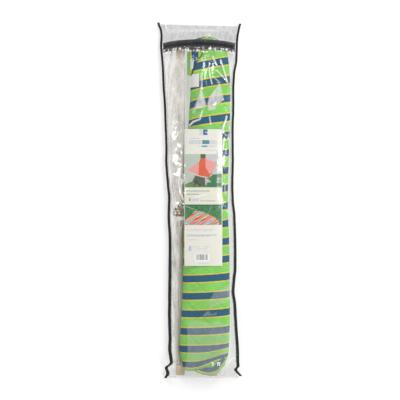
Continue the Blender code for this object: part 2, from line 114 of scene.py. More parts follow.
def smooth(low: float, high: float, value: float) -> float:
    """An S-shaped step from 0 at low to 1 at high."""
    share = min(max((value - low) / (high - low), 0.0), 1.0)
    return share * share * (3 - 2 * share)


def rough(x: float, y: float, z: float) -> float:
    """A value that wanders smoothly and at random between about -1 and 1 from place to place."""
    return noise.noise(Vector((x, y, z)))


def spline_at(rows: Sequence[Sequence[float]], key: float) -> list[float]:
    """The values of a table at a key, on a curve through its rows.

    Args:
        rows: Rows whose first value falls from row to row.
        key: Where to read the other values.

    Returns:
        The other values there.
    """
    if key >= rows[0][0]:
        return list(rows[0][1:])
    if key <= rows[-1][0]:
        return list(rows[-1][1:])
    at = next(i for i in range(len(rows) - 1) if rows[i][0] >= key >= rows[i + 1][0])
    share = (rows[at][0] - key) / (rows[at][0] - rows[at + 1][0])
    before, after = rows[max(at - 1, 0)], rows[min(at + 2, len(rows) - 1)]
    values = []
    for a, b, c, d in zip(before[1:], rows[at][1:], rows[at + 1][1:], after[1:]):
        lead = (c - a) / 2
        tail = (d - b) / 2
        cube = (2 * b - 2 * c + lead + tail) * share ** 3
        square = (3 * c - 3 * b - 2 * lead - tail) * share ** 2
        values.append(cube + square + lead * share + b)
    return values


def along_route(route: Route, share: float) -> tuple[float, float]:
    """The point of a flat broken line at a share of its length."""
    runs = [0.0]
    for a, b in zip(route, route[1:]):
        runs.append(runs[-1] + math.dist(a, b))
    goal = share * runs[-1]
    at = next((i for i in range(len(route) - 1) if goal <= runs[i + 1]), len(route) - 2)
    part = (goal - runs[at]) / (runs[at + 1] - runs[at])
    return mix(route[at][0], route[at + 1][0], part), mix(route[at][1], route[at + 1][1], part)


def inside(outline: Route, x: float, y: float) -> bool:
    """Whether X and Y lie inside a closed outline."""
    within = False
    for (ax, ay), (bx, by) in zip(outline, (*outline[1:], outline[0])):
        if (ay > y) != (by > y) and x < ax + (bx - ax) * (y - ay) / (by - ay):
            within = not within
    return within


def running_lengths(points: Sequence[Vector]) -> list[float]:
    """How far along a line of points each of them lies."""
    runs = [0.0]
    for a, b in zip(points, points[1:]):
        runs.append(runs[-1] + (b - a).length)
    return runs


def curve_points(route: Sequence[Vector], step: float, steps: int = 16) -> list[Vector]:
    """Evenly spaced points along a smooth curve through a route.

    Args:
        route: The route's own points.
        step: The spacing of the points.
        steps: How many steps the curve is first worked out in, for each span of the route.

    Returns:
        The points, both ends included.
    """
    spans = [(b - a).length for a, b in zip(route, route[1:])]
    slopes = []
    for i in range(len(route)):
        near, far = max(i - 1, 0), min(i, len(spans) - 1)
        behind = (route[near + 1] - route[near]) / spans[near]
        ahead = (route[far + 1] - route[far]) / spans[far]
        slopes.append((behind * spans[far] + ahead * spans[near]) / (spans[near] + spans[far]))
    fine: list[Vector] = []
    for i, span in enumerate(spans):
        for k in range(steps):
            t = k / steps
            fine.append(route[i] * (2 * t ** 3 - 3 * t ** 2 + 1)
                        + route[i + 1] * (3 * t ** 2 - 2 * t ** 3)
                        + slopes[i] * span * (t ** 3 - 2 * t ** 2 + t)
                        + slopes[i + 1] * span * (t ** 3 - t ** 2))
    fine.append(route[-1].copy())
    run = running_lengths(fine)
    count = max(int(round(run[-1] / step)), 2)
    points, at = [], 0
    for i in range(count + 1):
        goal = run[-1] * i / count
        while at < len(run) - 2 and run[at + 1] < goal:
            at += 1
        share = (goal - run[at]) / max(run[at + 1] - run[at], 1e-9)
        points.append(fine[at].lerp(fine[at + 1], min(share, 1.0)))
    return points


# ---- mesh work -----------------------------------------------------------------------------------


def finish_mesh(name: str, form: Form, finish: Material) -> Piece:
    """Turn a finished bmesh into a shaded object in the scene.

    Args:
        name: The piece's name.
        form: The bmesh, which is freed.
        finish: Its material.

    Returns:
        The new object, at the origin.
    """
    mesh = bpy.data.meshes.new(name)
    form.to_mesh(mesh)
    form.free()
    mesh.materials.append(finish)
    mesh.shade_smooth()
    mesh.set_sharp_from_angle(angle=SHARP_EDGE)
    piece = bpy.data.objects.new(name, mesh)
    bpy.context.scene.collection.objects.link(piece)
    return piece


def cloth_grid(across: int, along: int, place: Place, size: tuple[float, float] = (1.0, 1.0),
               joined: bool = False) -> Form:
    """A grid laid on a surface, with a UV map in metres.

    Args:
        across: Squares in the first direction.
        along: Squares in the second direction.
        place: The surface's point at two shares from 0 to 1.
        size: What the UV map's two directions run to.
        joined: Whether the first direction closes on itself.

    Returns:
        The grid's bmesh.
    """
    form = bmesh.new()
    layer = form.loops.layers.uv.new("UVMap")
    bmesh.ops.create_grid(form, x_segments=across, y_segments=along, size=0.5)
    for face in form.faces:
        for loop in face.loops:
            spot = loop.vert.co
            loop[layer].uv = ((spot.x + 0.5) * size[0], (spot.y + 0.5) * size[1])
    for vertex in form.verts:
        vertex.co = place(min(max(vertex.co.x + 0.5, 0), 1), min(max(vertex.co.y + 0.5, 0), 1))
    if joined:
        bmesh.ops.remove_doubles(form, verts=form.verts, dist=SAME_SPOT)
    return form


def round_edges(form: Form, reach: float, segments: int) -> None:
    """Bevel every edge of a solid."""
    bmesh.ops.bevel(form, geom=list(form.edges), offset=reach, offset_type="OFFSET",
                    segments=segments, profile=0.5, affect="EDGES", clamp_overlap=True, material=-1)


def close_ends(form: Form) -> None:
    """Fill the open rims of a tube with flat caps."""
    rims = [edge for edge in form.edges if edge.is_boundary]
    bmesh.ops.holes_fill(form, edges=rims, sides=0)
    bmesh.ops.recalc_face_normals(form, faces=form.faces)


def thicken(piece: Piece, thickness: float) -> None:
    """Give a sheet its thickness, down from its upper side, with a Solidify modifier."""
    highest = max(piece.data.polygons, key=lambda face: face.center.z)
    wall = piece.modifiers.new("thickness", "SOLIDIFY")
    wall.thickness = thickness
    wall.offset = -1.0 if highest.normal.z > 0 else 1.0
    wall.use_even_offset = False


def map_cloth(form: Form, on_cloth: Callable[[Vector, float, float], tuple[float, float]]) -> None:
    """Give a grid new UVs.

    Args:
        form: The grid's bmesh.
        on_cloth: The new U and V for a corner's position and its old U and V.
    """
    layer = form.loops.layers.uv.active
    for face in form.faces:
        for loop in face.loops:
            loop[layer].uv = on_cloth(loop.vert.co, *loop[layer].uv)


def join(form: Form, piece: Form) -> None:
    """Copy one bmesh into another, and free it."""
    mesh = bpy.data.meshes.new("joined")
    piece.to_mesh(mesh)
    piece.free()
    form.from_mesh(mesh)
    bpy.data.meshes.remove(mesh)


def ring_tube(points: Sequence[Vector], sides: int, girth: float | Girth, up: Vector,
              closed: bool = False) -> Form:
    """A tube along a line of points whose radius may vary round it and along it.

    Args:
        points: The line.
        sides: Sides of the tube.
        girth: Its radius, or the radius at a turn in radians and a run along the line.
        up: A direction that the line never runs along.
        closed: Whether the line closes on itself.

    Returns:
        The tube's bmesh.
    """
    count = len(points)
    runs = running_lengths(points)
    total = runs[-1]
    if closed:
        total += (points[0] - points[-1]).length
    rows = count if closed else count - 1
    frames = []
    normal = up
    for i in range(count):
        before = points[i - 1] if closed or i else points[0]
        after = points[(i + 1) % count] if closed or i < count - 1 else points[-1]
        along = (after - before).normalized()
        side = along.cross(normal).normalized()
        normal = side.cross(along).normalized()
        frames.append((side, normal))

    def place(u: float, v: float) -> Vector:
        at = int(round(v * rows))
        turn = 2 * math.pi * u
        side, out = frames[at % count]
        run = total if at == count else runs[at]
        reach = girth(turn, run) if callable(girth) else girth
        return points[at % count] + (side * math.cos(turn) + out * math.sin(turn)) * reach

    form = cloth_grid(sides, rows, place, (1.0, total), joined=True)
    if closed:
        bmesh.ops.recalc_face_normals(form, faces=form.faces)
    else:
        close_ends(form)
    return form


def settle(piece: Piece, body: Body, slot: Slot, *nodes: str) -> None:
    """Put a finished piece in the frame.

    Args:
        piece: The piece.
        body: The body it rides on.
        slot: The material slot it belongs to; not used.
        *nodes: The CAD nodes it stands for.
    """
    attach(piece, body.value)
    if nodes:
        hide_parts(*nodes)
    LOG.info("%s rides on %s, %d faces", piece.name, body.value, len(piece.data.polygons))


def fit(name: str, form: Form, finish: Material, slot: Slot, *nodes: str,
        body: Body = Body.PACK) -> Piece:
    """Finish a mesh and put it in the frame.

    Args:
        name: The piece's name.
        form: The bmesh, which is freed.
        finish: Its material.
        slot: The material slot it belongs to.
        *nodes: The CAD nodes it stands for.
        body: The body it rides on.

    Returns:
        The piece.
    """
    piece = finish_mesh(name, form, finish)
    settle(piece, body, slot, *nodes)
    return piece


def dress(node: Piece, finish: Material) -> None:
    """Give a CAD node that stays a better finish."""
    if not node.material_slots:
        node.data.materials.append(finish)
    for slot in node.material_slots:
        slot.material = finish
    LOG.info("%s keeps its CAD shape", node.name)


# ---- finishes ------------------------------------------------------------------------------------


class Nodes:
    """Short calls for building one material's nodes."""

    def __init__(self, name: str) -> None:
        """Start a material with only an output and a Principled shader."""
        self.material = bpy.data.materials.new(name)
        self.material.use_nodes = True
        self.tree = self.material.node_tree
        self.shader = self.tree.nodes["Principled BSDF"]

    def add(self, kind: str, settings: dict | None = None, **inputs: object) -> bpy.types.Node:
        """Add a node.

        Args:
            kind: The node's type name without its ShaderNode prefix.
            settings: Properties to set on the node.
            **inputs: Socket values or links, by socket name with _ for a space.

        Returns:
            The node.
        """
        node = self.tree.nodes.new("ShaderNode" + kind)
        for key, value in (settings or {}).items():
            setattr(node, key, value)
        for key, value in inputs.items():
            self.put(node.inputs[key.replace("_", " ")], value)
        return node

    def put(self, socket: Socket, value: object) -> None:
        """Set a socket to a value, or link it from another socket."""
        if isinstance(value, Socket):
            self.tree.links.new(value, socket)
        elif isinstance(value, tuple) and len(value) == 3 and socket.type == "RGBA":
            socket.default_value = (*value, 1.0)
        else:
            socket.default_value = value

    def math(self, operation: str, *values: object) -> Socket:
        """A Math node's result."""
        node = self.add("Math", {"operation": operation})
        for socket, value in zip(node.inputs, values):
            self.put(socket, value)
        return node.outputs[0]

    def coords(self, which: str = "Object") -> Socket:
        """A coordinate output, Object or UV."""
        return self.add("TexCoord").outputs[which]

    def scaled(self, source: Socket, scale: Sequence[float]) -> Socket:
        """Coordinates stretched by a Mapping node."""
        node = self.add("Mapping", None, Vector=source)
        node.inputs["Scale"].default_value = tuple(scale)
        return node.outputs[0]

    def noise(self, source: Socket, scale: float, detail: float = 3.0,
              roughness: float = 0.5) -> Socket:
        """A Noise Texture's factor."""
        node = self.add("TexNoise", None, Vector=source, Scale=scale, Detail=detail,
                        Roughness=roughness)
        return node.outputs["Fac"]

    def wave(self, source: Socket, scale: float, distortion: float = 0.0,
             direction: str = "X") -> Socket:
        """A band Wave Texture's factor."""
        settings = {"bands_direction": direction, "wave_profile": "SIN"}
        node = self.add("TexWave", settings, Vector=source, Scale=scale, Distortion=distortion)
        return node.outputs["Fac"]

    def blend(self, share: object, first: object, second: object, how: str = "MIX") -> Socket:
        """Two colours mixed."""
        node = self.add("Mix", {"data_type": "RGBA", "blend_type": how})
        self.put(node.inputs[0], share)
        self.put(node.inputs[6], first)
        self.put(node.inputs[7], second)
        return node.outputs[2]

    def ramp(self, source: Socket, stops: Sequence[tuple[float, Colour]],
             constant: bool = False) -> Socket:
        """A colour ramp's colour."""
        node = self.add("ValToRGB", None, Fac=source)
        ramp = node.color_ramp
        ramp.interpolation = "CONSTANT" if constant else "LINEAR"
        while len(ramp.elements) < len(stops):
            ramp.elements.new(1.0)
        for element, (place, colour) in zip(ramp.elements, stops):
            element.position = place
            element.color = (*colour, 1)
        return node.outputs["Color"]

    def span(self, source: Socket, low: float, high: float, to_low: float = 0.0,
             to_high: float = 1.0) -> Socket:
        """A value moved smoothly from one range to another."""
        node = self.add("MapRange", {"interpolation_type": "SMOOTHSTEP"}, Value=source)
        for name, value in (("From Min", low), ("From Max", high), ("To Min", to_low),
                            ("To Max", to_high)):
            node.inputs[name].default_value = value
        return node.outputs["Result"]

    def grey(self, tone: Socket) -> Socket:
        """A grey of a tone, to multiply a colour by."""
        return self.add("CombineColor", None, Red=tone, Green=tone, Blue=tone).outputs[0]

    def bump(self, height: Socket, distance: float, strength: float = 1.0) -> None:
        """Raise the surface by a height, in metres at a height of 1."""
        node = self.add("Bump", None, Height=height, Distance=distance, Strength=strength)
        self.put(self.shader.inputs["Normal"], node.outputs[0])

    def principled(self, **inputs: object) -> None:
        """Set or link the Principled shader's sockets, by name with _ for a space."""
        for key, value in inputs.items():
            self.put(self.shader.inputs[key.replace("_", " ")], value)


@dataclass(frozen=True)
class Finish:
    """A finish: a named material whose look its own class draws."""

    name: str

    def make(self) -> Material:
        """Build the material."""
        n = Nodes(self.name)
        self.draw(n)
        return n.material

    def draw(self, n: Nodes) -> None:
        """Draw the finish on a new material's nodes."""
        raise NotImplementedError


@dataclass(frozen=True)
class StripedCloth(Finish):
    """Woven quilted cloth in blue, yellow and green stripes; U is across the stripes in metres."""

    name: str = "striped_quilted_cloth"
    repeat: float = 0.0744
    blue: Colour = (0.0, 0.096, 0.19)
    green: Colour = (0.235, 0.64, 0.105)
    yellow: Colour = (0.72, 0.6, 0.035)
    blue_share: float = 0.385
    yellow_share: float = 0.075
    quilt: float = 0.12

    def draw(self, n: Nodes) -> None:
        """Draw the finish."""
        uv = n.coords("UV")
        parts = n.add("SeparateXYZ", None, Vector=uv)
        across, along = parts.outputs[0], parts.outputs[1]
        wander = n.noise(uv, 60.0, 2.0)
        edge = n.math("MULTIPLY", n.math("SUBTRACT", wander, 0.5), 0.0016)
        share = n.math("FRACT", n.math("DIVIDE", n.math("ADD", across, edge), self.repeat))
        half = self.blue_share / 2
        band = self.yellow_share
        stops = [(0.0, self.blue), (half, self.yellow), (half + band, self.green),
                 (1 - half - band, self.yellow), (1 - half, self.blue)]
        stripe = n.ramp(share, stops, constant=True)
        slub = n.noise(n.scaled(uv, (900, 40, 1)), 1.0, 2.0)
        fleck = n.noise(n.scaled(uv, (700, 700, 1)), 1.0, 1.0)
        worn = n.noise(n.scaled(uv, (9, 9, 1)), 1.0, 4.0)
        shade = n.math("ADD", n.span(slub, 0.25, 0.75, 0.80, 1.12),
                       n.span(worn, 0.2, 0.8, -0.1, 0.08))
        shade = n.math("ADD", shade, n.span(fleck, 0.3, 0.7, -0.10, 0.10))
        colour = n.blend(1.0, stripe, n.grey(shade), "MULTIPLY")
        warp = n.wave(uv, 130.0)
        weft = n.wave(uv, 110.0, direction="Y")
        weave = n.math("MULTIPLY", n.math("ADD", warp, weft), 0.06)
        first = n.math("PINGPONG", n.math("ADD", across, along), self.quilt / 2)
        second = n.math("PINGPONG", n.math("SUBTRACT", across, along), self.quilt / 2)
        stitch = n.span(n.math("MINIMUM", first, second), 0.0, 0.012)
        height = n.math("ADD", weave, n.math("ADD", stitch, n.math("MULTIPLY", slub, 0.08)))
        n.bump(height, 0.0022)
        n.principled(Base_Color=colour, Roughness=0.88, Sheen_Weight=0.05, Sheen_Roughness=0.5)
        n.shader.inputs["Specular IOR Level"].default_value = 0.15


@dataclass(frozen=True)
class ClearFilm(Finish):
    """Thin clear vinyl, hazy in patches, that mirrors the lamps along its creases, with painted white
    glare along the creases and in patches, and painted shade past the zip and at the foot.
    """

    name: str = "clear_vinyl_film"
    haze: float = 0.035
    mirror: float = 0.04
    body: Colour = (0.16, 0.16, 0.155)
    # The near-white of the painted glare and haze.
    glare_and_haze_white: Colour = (0.89, 0.865, 0.83)

    def draw(self, n: Nodes) -> None:
        """Draw the film: see-through, with painted glare along its creases and in patches, and painted
        shade past the zip and at the foot.
        """
        where = n.coords("Object")
        patch = n.noise(n.scaled(where, (9, 5, 9)), 1.0, 5.0, 0.6)
        fine = n.noise(n.scaled(where, (70, 30, 70)), 1.0, 3.0, 0.6)
        glare_and_haze = n.add("Attribute", {"attribute_name": "glare_and_haze"}).outputs["Fac"]
        # A darker haze that paints the shade past the zip and at the foot.
        painted_shade = n.add("Attribute", {"attribute_name": "painted_shade"}).outputs["Fac"]
        clear = n.math("ADD", n.span(patch, 0.42, 0.75, 0.0, 0.03), self.haze)
        painted_shade_haze = n.math("MULTIPLY", painted_shade, n.span(fine, 0.3, 0.7, 0.08, 0.20))
        # The film's painted glare and haze: white along creases, in patches, beside the roll and below
        # the zip.
        cloud = n.math("MULTIPLY", glare_and_haze, n.span(fine, 0.25, 0.7, 0.62, 0.95))
        haze = n.math("ADD", n.math("ADD", clear, painted_shade_haze), cloud)
        facing = n.add("LayerWeight", None, Blend=0.5).outputs["Facing"]
        rim = n.math("MULTIPLY", n.math("POWER", facing, 5.0), 0.85)
        mirror = n.math("ADD", rim, self.mirror)
        alpha = n.math("MINIMUM", n.math("ADD", haze, mirror), 1.0)
        height = n.math("ADD", n.math("MULTIPLY", fine, 0.5), patch)
        n.bump(height, 0.0012, 0.5)
        # Painted glare and haze take the near-white colour; the painted shade keeps the dark body
        # colour.
        body = n.blend(n.math("DIVIDE", cloud, haze), self.body, self.glare_and_haze_white)
        white = n.blend(n.math("DIVIDE", mirror, alpha), body, (1.0, 1.0, 1.0))
        n.principled(Base_Color=white, Roughness=0.10, Metallic=n.math("DIVIDE", mirror, alpha),
                     Alpha=alpha)


@dataclass(frozen=True)
class WovenTape(Finish):
    """Narrow woven tape with ribs across it; U is across the tape and V along it, in metres."""

    colour: Colour
    rib: float = 0.0011
    roughness: float = 0.78

    def draw(self, n: Nodes) -> None:
        """Draw the finish."""
        uv = n.coords("UV")
        ribs = n.wave(uv, 0.314 / self.rib, 0.4, "Y")
        threads = n.wave(uv, 0.6 / self.rib, 0.3)
        dust = n.noise(n.scaled(n.coords("Object"), (60, 25, 60)), 1.0, 4.0)
        height = n.math("ADD", ribs, n.math("MULTIPLY", threads, 0.35))
        pale = tuple(min(1.0, c * 2.6 + 0.012) for c in self.colour)
        # Lighter in random dust patches, and lighter along the rib crests as a painted highlight.
        share = n.math("ADD", n.span(dust, 0.35, 0.75, 0.0, 0.55), n.math("MULTIPLY", ribs, 0.18))
        colour = n.blend(share, self.colour, pale)
        n.bump(height, 0.00035)
        n.principled(Base_Color=colour, Roughness=self.roughness, Sheen_Weight=0.15)


@dataclass(frozen=True)
class TwistedRope(Finish):
    """Laid cotton rope; V runs along it in metres and U once round it."""

    name: str = "laid_rope"
    colour: Colour = (0.86, 0.83, 0.765)
    shade: Colour = (0.68, 0.62, 0.53)

    def draw(self, n: Nodes) -> None:
        """Draw the finish."""
        uv = n.coords("UV")
        fibre = n.noise(n.scaled(uv, (14, 900, 1)), 1.0, 3.0)
        yarn = n.wave(n.scaled(uv, (1.0, 26, 1)), 12.0, 1.2, "Y")
        soil = n.noise(n.coords("Object"), 38.0, 3.0)
        share = n.math("ADD", n.span(fibre, 0.3, 0.7, 0.0, 0.35),
                       n.span(soil, 0.45, 0.8, 0.0, 0.35))
        colour = n.blend(share, self.colour, self.shade)
        n.bump(n.math("ADD", n.math("MULTIPLY", fibre, 0.6), yarn), 0.0003)
        n.principled(Base_Color=colour, Roughness=0.92, Sheen_Weight=0.3)


@dataclass(frozen=True)
class BarWood(Finish):
    """Pale varnished softwood with grain along Y."""

    name: str = "varnished_wood"
    light: Colour = (0.78, 0.61, 0.42)
    dark: Colour = (0.56, 0.39, 0.24)

    def draw(self, n: Nodes) -> None:
        """Draw the finish."""
        where = n.coords("Object")
        grain = n.noise(n.scaled(where, (170, 4.5, 170)), 1.0, 6.0, 0.62)
        rings = n.add("TexWave", {"wave_type": "RINGS", "rings_direction": "Y"},
                      Vector=n.scaled(where, (1, 0.05, 1)), Scale=42.0, Distortion=5.0, Detail=3.0)
        pores = n.noise(n.scaled(where, (900, 30, 900)), 1.0, 2.0)
        share = n.math("ADD", n.span(grain, 0.35, 0.7, 0.0, 0.55),
                       n.math("MULTIPLY", rings.outputs["Fac"], 0.35))
        colour = n.blend(share, self.light, self.dark)
        rough = n.span(grain, 0.3, 0.7, 0.34, 0.52)
        n.bump(n.math("ADD", grain, n.math("MULTIPLY", pores, 0.5)), 0.0004)
        n.principled(Base_Color=colour, Roughness=rough, Coat_Weight=0.25, Coat_Roughness=0.2)


@dataclass(frozen=True)
class BareMetal(Finish):
    """Plated or painted metal, a little uneven in gloss."""

    colour: Colour
    roughness: float
    metallic: float = 1.0

    def draw(self, n: Nodes) -> None:
        """Draw the finish."""
        where = n.coords("Object")
        cloud = n.noise(where, 260.0, 4.0)
        scratch = n.noise(n.scaled(where, (2200, 180, 2200)), 1.0, 2.0)
        dark = tuple(c * 0.6 for c in self.colour)
        colour = n.blend(n.span(cloud, 0.45, 0.8, 0.0, 0.6), self.colour, dark)
        rough = n.span(cloud, 0.25, 0.75, self.roughness * 0.7, self.roughness * 1.5)
        n.bump(n.math("ADD", scratch, cloud), 0.00006)
        n.principled(Base_Color=colour, Roughness=rough, Metallic=self.metallic)


@dataclass(frozen=True)
class PrintedCard(Finish):
    """Coated card whose ink is a colour stored on its mesh."""

    name: str = "printed_card"
    stored: str = "ink"

    def draw(self, n: Nodes) -> None:
        """Draw the finish."""
        ink = n.add("Attribute", {"attribute_name": self.stored}).outputs["Color"]
        where = n.coords("Object")
        fibre = n.noise(n.scaled(where, (400, 260, 400)), 1.0, 3.0)
        tone = n.grey(n.span(fibre, 0.2, 0.8, 0.96, 1.02))
        n.bump(fibre, 0.00008)
        n.principled(Base_Color=n.blend(1.0, ink, tone, "MULTIPLY"), Roughness=0.42,
                     Coat_Weight=0.15, Coat_Roughness=0.3)


@dataclass(frozen=True)
class Plain(Finish):
    """A plain soft finish with a fine grain, for labels and the floor."""

    colour: Colour
    roughness: float = 0.8
    grain: float = 300.0
    glow: float = 0.0

    def draw(self, n: Nodes) -> None:
        """Draw the finish."""
        grain = n.noise(n.coords("Object"), self.grain, 3.0)
        pale = tuple(c * 0.96 for c in self.colour)
        n.bump(grain, 0.0001)
        n.principled(Base_Color=n.blend(grain, self.colour, pale), Roughness=self.roughness)
        if self.glow:
            n.shader.inputs["Emission Color"].default_value = (*self.colour, 1)
            n.shader.inputs["Emission Strength"].default_value = self.glow


# ---- the space that the pack takes ---------------------------------------------------------------


@dataclass
class PackShape:
    """The rounded skin of the bag: where its seams run and how high its front stands.

    Attributes:
        seams: Y, left seam X, right seam X, seam Z and crown Z, from the zip end to the foot.
        curve: Exponent of the front's rounded section.
        root: From the middle of the binding to where the two films part.
    """

    seams: Sequence[Sequence[float]] = (
        (0.752, -0.176, 0.17, 0.008, 0.01),
        (0.746, -0.1735, 0.169, 0.009, 0.018),
        (0.728, -0.167, 0.165, 0.014, 0.04),
        (0.704, -0.164, 0.16, 0.022, 0.078),
        (0.652, -0.1655, 0.1565, 0.03, 0.098),
        (0.59, -0.16, 0.154, 0.034, 0.112),
        (0.54, -0.157, 0.145, 0.036, 0.119),
        (0.47, -0.154, 0.1415, 0.036, 0.125),
        (0.4, -0.149, 0.1415, 0.036, 0.128),
        (0.32, -0.1465, 0.139, 0.036, 0.129),
        (0.23, -0.143, 0.139, 0.036, 0.129),
        (0.149, -0.143, 0.139, 0.036, 0.129),
        (0.064, -0.136, 0.1375, 0.036, 0.129),
        (0.0, -0.131, 0.139, 0.036, 0.129),
        (-0.064, -0.133, 0.1455, 0.036, 0.129),
        (-0.171, -0.128, 0.149, 0.036, 0.129),
        (-0.299, -0.1285, 0.149, 0.036, 0.129),
        (-0.385, -0.1295, 0.141, 0.036, 0.128),
        (-0.444, -0.13, 0.148, 0.036, 0.127),
        (-0.512, -0.13, 0.1515, 0.036, 0.125),
        (-0.58, -0.128, 0.156, 0.036, 0.123),
        (-0.64, -0.129, 0.16, 0.036, 0.12),
        (-0.68, -0.124, 0.1605, 0.035, 0.115),
        (-0.694, -0.1225, 0.161, 0.034, 0.112),
        (-0.702, -0.129, 0.1625, 0.033, 0.109),
        (-0.712, -0.143, 0.1615, 0.032, 0.106),
        (-0.719, -0.144, 0.1545, 0.031, 0.104),
        (-0.726, -0.1415, 0.1525, 0.03, 0.101),
        (-0.735, -0.1385, 0.159, 0.026, 0.096),
        (-0.745, -0.1385, 0.166, 0.022, 0.088),
        (-0.7575, -0.144, 0.1715, 0.017, 0.02),
    )
    curve: float = 2.3
    root: float = 0.0065

    def row(self, y: float) -> list[float]:
        """Left seam X, right seam X, seam Z and crown Z at Y."""
        return spline_at(self.seams, y)


@dataclass
class ZipArc:
    """The circle that the zip follows, in a plane that leans towards the zip end."""

    y: float = 0.652
    left: float = -0.1655
    right: float = 0.1565
    seam_z: float = 0.03
    rise: float = 0.07
    lean: float = math.radians(4.5)
    root: float = 0.0065
    margin: float = math.radians(4.0)

    def __post_init__(self) -> None:
        """Work out the circle from its chord and rise."""
        half = (self.right - self.left) / 2 - self.root
        self.radius = (half ** 2 + self.rise ** 2) / (2 * self.rise)
        drop = self.rise - self.radius
        self.reach = math.atan2(half, -drop)
        self.up = Vector((0, math.sin(self.lean), math.cos(self.lean)))
        self.across = Vector((0, math.cos(self.lean), -math.sin(self.lean)))
        middle = (self.left + self.right) / 2
        self.centre = Vector((middle, self.y, self.seam_z)) + self.up * drop

    def out(self, angle: float) -> Vector:
        """The direction straight out of the arc at an angle from its crown."""
        return Vector((math.sin(angle), 0, 0)) + self.up * math.cos(angle)

    def along(self, angle: float) -> Vector:
        """The direction along the arc at an angle."""
        return Vector((math.cos(angle), 0, 0)) - self.up * math.sin(angle)

    def at(self, angle: float, side: float = 0.0, lift: float = 0.0) -> Vector:
        """The point at an angle, a side step across the zip and a lift off it."""
        return self.centre + self.out(angle) * (self.radius + lift) + self.across * side


# ---- the bed -------------------------------------------------------------------------------------


@dataclass
class RolledBed:
    """The quilted bed in a loose spiral roll, with two turned-back flaps, a painted shadow along one
    fold, and its care label, partly a painted highlight.
    """

    stations: Sequence[Sequence[float]] = (
        (0.692, -0.028, 0.1, 0.08),
        (0.676, -0.04, 0.108, 0.085),
        (0.64, -0.046, 0.115, 0.089),
        (0.574, -0.043, 0.1245, 0.099),
        (0.47, -0.041, 0.1305, 0.11),
        (0.36, -0.047, 0.129, 0.117),
        (0.2, -0.057, 0.124, 0.118),
        (0.0, -0.065, 0.119, 0.118),
        (-0.2, -0.07, 0.1255, 0.118),
        (-0.4, -0.075, 0.1275, 0.117),
        (-0.48, -0.079, 0.128, 0.116),
        (-0.56, -0.085, 0.1265, 0.114),
        (-0.615, -0.088, 0.124, 0.112),
        (-0.65, -0.086, 0.122, 0.11),
        (-0.7, -0.074, 0.108, 0.101),
        (-0.735, -0.066, 0.102, 0.085),
        (-0.747, -0.05, 0.098, 0.078),
    )
    floor: float = 0.003
    core: tuple[float, float] = (0.054, 0.05)
    core_half: tuple[float, float] = (0.041, 0.027)
    turns: float = 5.6
    start: float = math.radians(-112)
    layer: float = 0.0036
    tilts: tuple[float, float] = (0.045, 0.155)
    tilt_span: tuple[float, float] = (-0.45, 0.52)
    tilt_from: float = 0.105
    end_turn: float = 0.23
    blue_at: float = -0.0204
    around: int = 300
    along: int = 110
    knee: float = 0.9
    flap: float = 0.003
    flap_lift: float = 0.0012
    # Radius of the near-black tube along the flap's fold, made as the bed's piping and a painted shadow
    # of the gap under the fold.
    fold_shadow_radius: float = 0.0017
    label: float = 0.0006
    end_flap_top: float = 0.088
    end_hem: float = 0.0085
    whole_repeats: int = 40
    hem_bend: float = 0.075
    foot: float = -0.708
    width: float = 1.4
    cloth: StripedCloth = field(default_factory=StripedCloth)

    def __post_init__(self) -> None:
        """Make the cloth once for every piece of it."""
        self.finish = self.cloth.make()
        self.offset = self.whole_repeats * self.cloth.repeat
        self.green_edge = self.cloth.repeat * (self.cloth.blue_share / 2 + self.cloth.yellow_share)
        self.run_at_tilt = 0.0
        self.flat_length = 0.0

    def outline(self, y: float) -> tuple[float, float, float, float]:
        """Centre X, half width, centre Z and half height of the roll at Y."""
        left, right, top = spline_at(self.stations, y)
        return ((left + right) / 2, (right - left) / 2, (top + self.floor) / 2,
                (top - self.floor) / 2)

    def top(self, x: float, y: float) -> float:
        """Height of the roll's upper surface, running on down its flank past its side."""
        centre, half, middle, rise = self.outline(y)
        share = abs(x - centre) / half
        if share <= self.knee:
            return middle + rise * math.sqrt(1 - share ** 2)
        edge = math.sqrt(1 - self.knee ** 2)
        return middle + rise * (edge - (share - self.knee) * self.knee / edge)

    def tilt(self, y: float) -> float:
        """How far the stripes climb for each metre across the roll, at Y."""
        low, high = self.tilt_span
        share = min(max((y - low) / (high - low), 0.0), 1.0)
        return mix(self.tilts[0], self.tilts[1], share) + self.end_turn * smooth(0.645, 0.675, y)

    @staticmethod
    def drawn(y: float) -> float:
        """Where the cloth at Y would lie if it weren't drawn out or bunched up."""
        return y + 0.005 - 0.067 * max(y - 0.33, 0.0) - 0.14 * max(-0.64 - y, 0.0)

    def hem(self, x: float) -> float:
        """Y of the outermost turn's foot hem, which slants up to the right."""
        return mix(-0.7225, -0.676, smooth(-0.045, 0.115, x) ** 1.25)

    def build_roll(self) -> Piece:
        """The spiral of cloth, from its free edge by the outer bar in to the core."""
        first, last = self.stations[0][0] - 0.002, self.foot
        rims: dict[tuple[int, int], float] = {}

        def place(u: float, v: float) -> Vector:
            turn = self.start + 2 * math.pi * self.turns * u
            outer = 1 - smooth(0.11, 0.16, u)
            ragged = rough(turn * 0.35, 3.1, 0.7)
            x_rim = self.spiral(u, turn, 0.6)[0]
            top_end = mix(first - 0.02 - 0.008 * ragged, first - 3.4 * (x_rim - 0.024) ** 2, outer)
            inner_foot = last + 0.008 * (0.5 + rough(turn * 0.4, 9.2, 4.1))
            x_rim = self.spiral(u, turn, 0.0)[0]
            foot_end = mix(inner_foot, self.hem(x_rim), outer)
            y = mix(foot_end, top_end, v)
            rims[(round(u * self.around), round(v * self.along))] = foot_end
            x, z = self.spiral(u, turn, y)
            dent = noise.fractal(Vector((x * 16, y * 9, z * 16)), 0.9, 2.1, 4)
            deep = 0.0014 * (1 + 2.2 * smooth(0.62, 0.7, abs(y))) * (1 - smooth(0.0, 0.25, u))
            inward = Vector((self.core[0] - x, 0, self.core[1] - z)).normalized()
            return Vector((x, y, z)) + inward * abs(dent) * deep

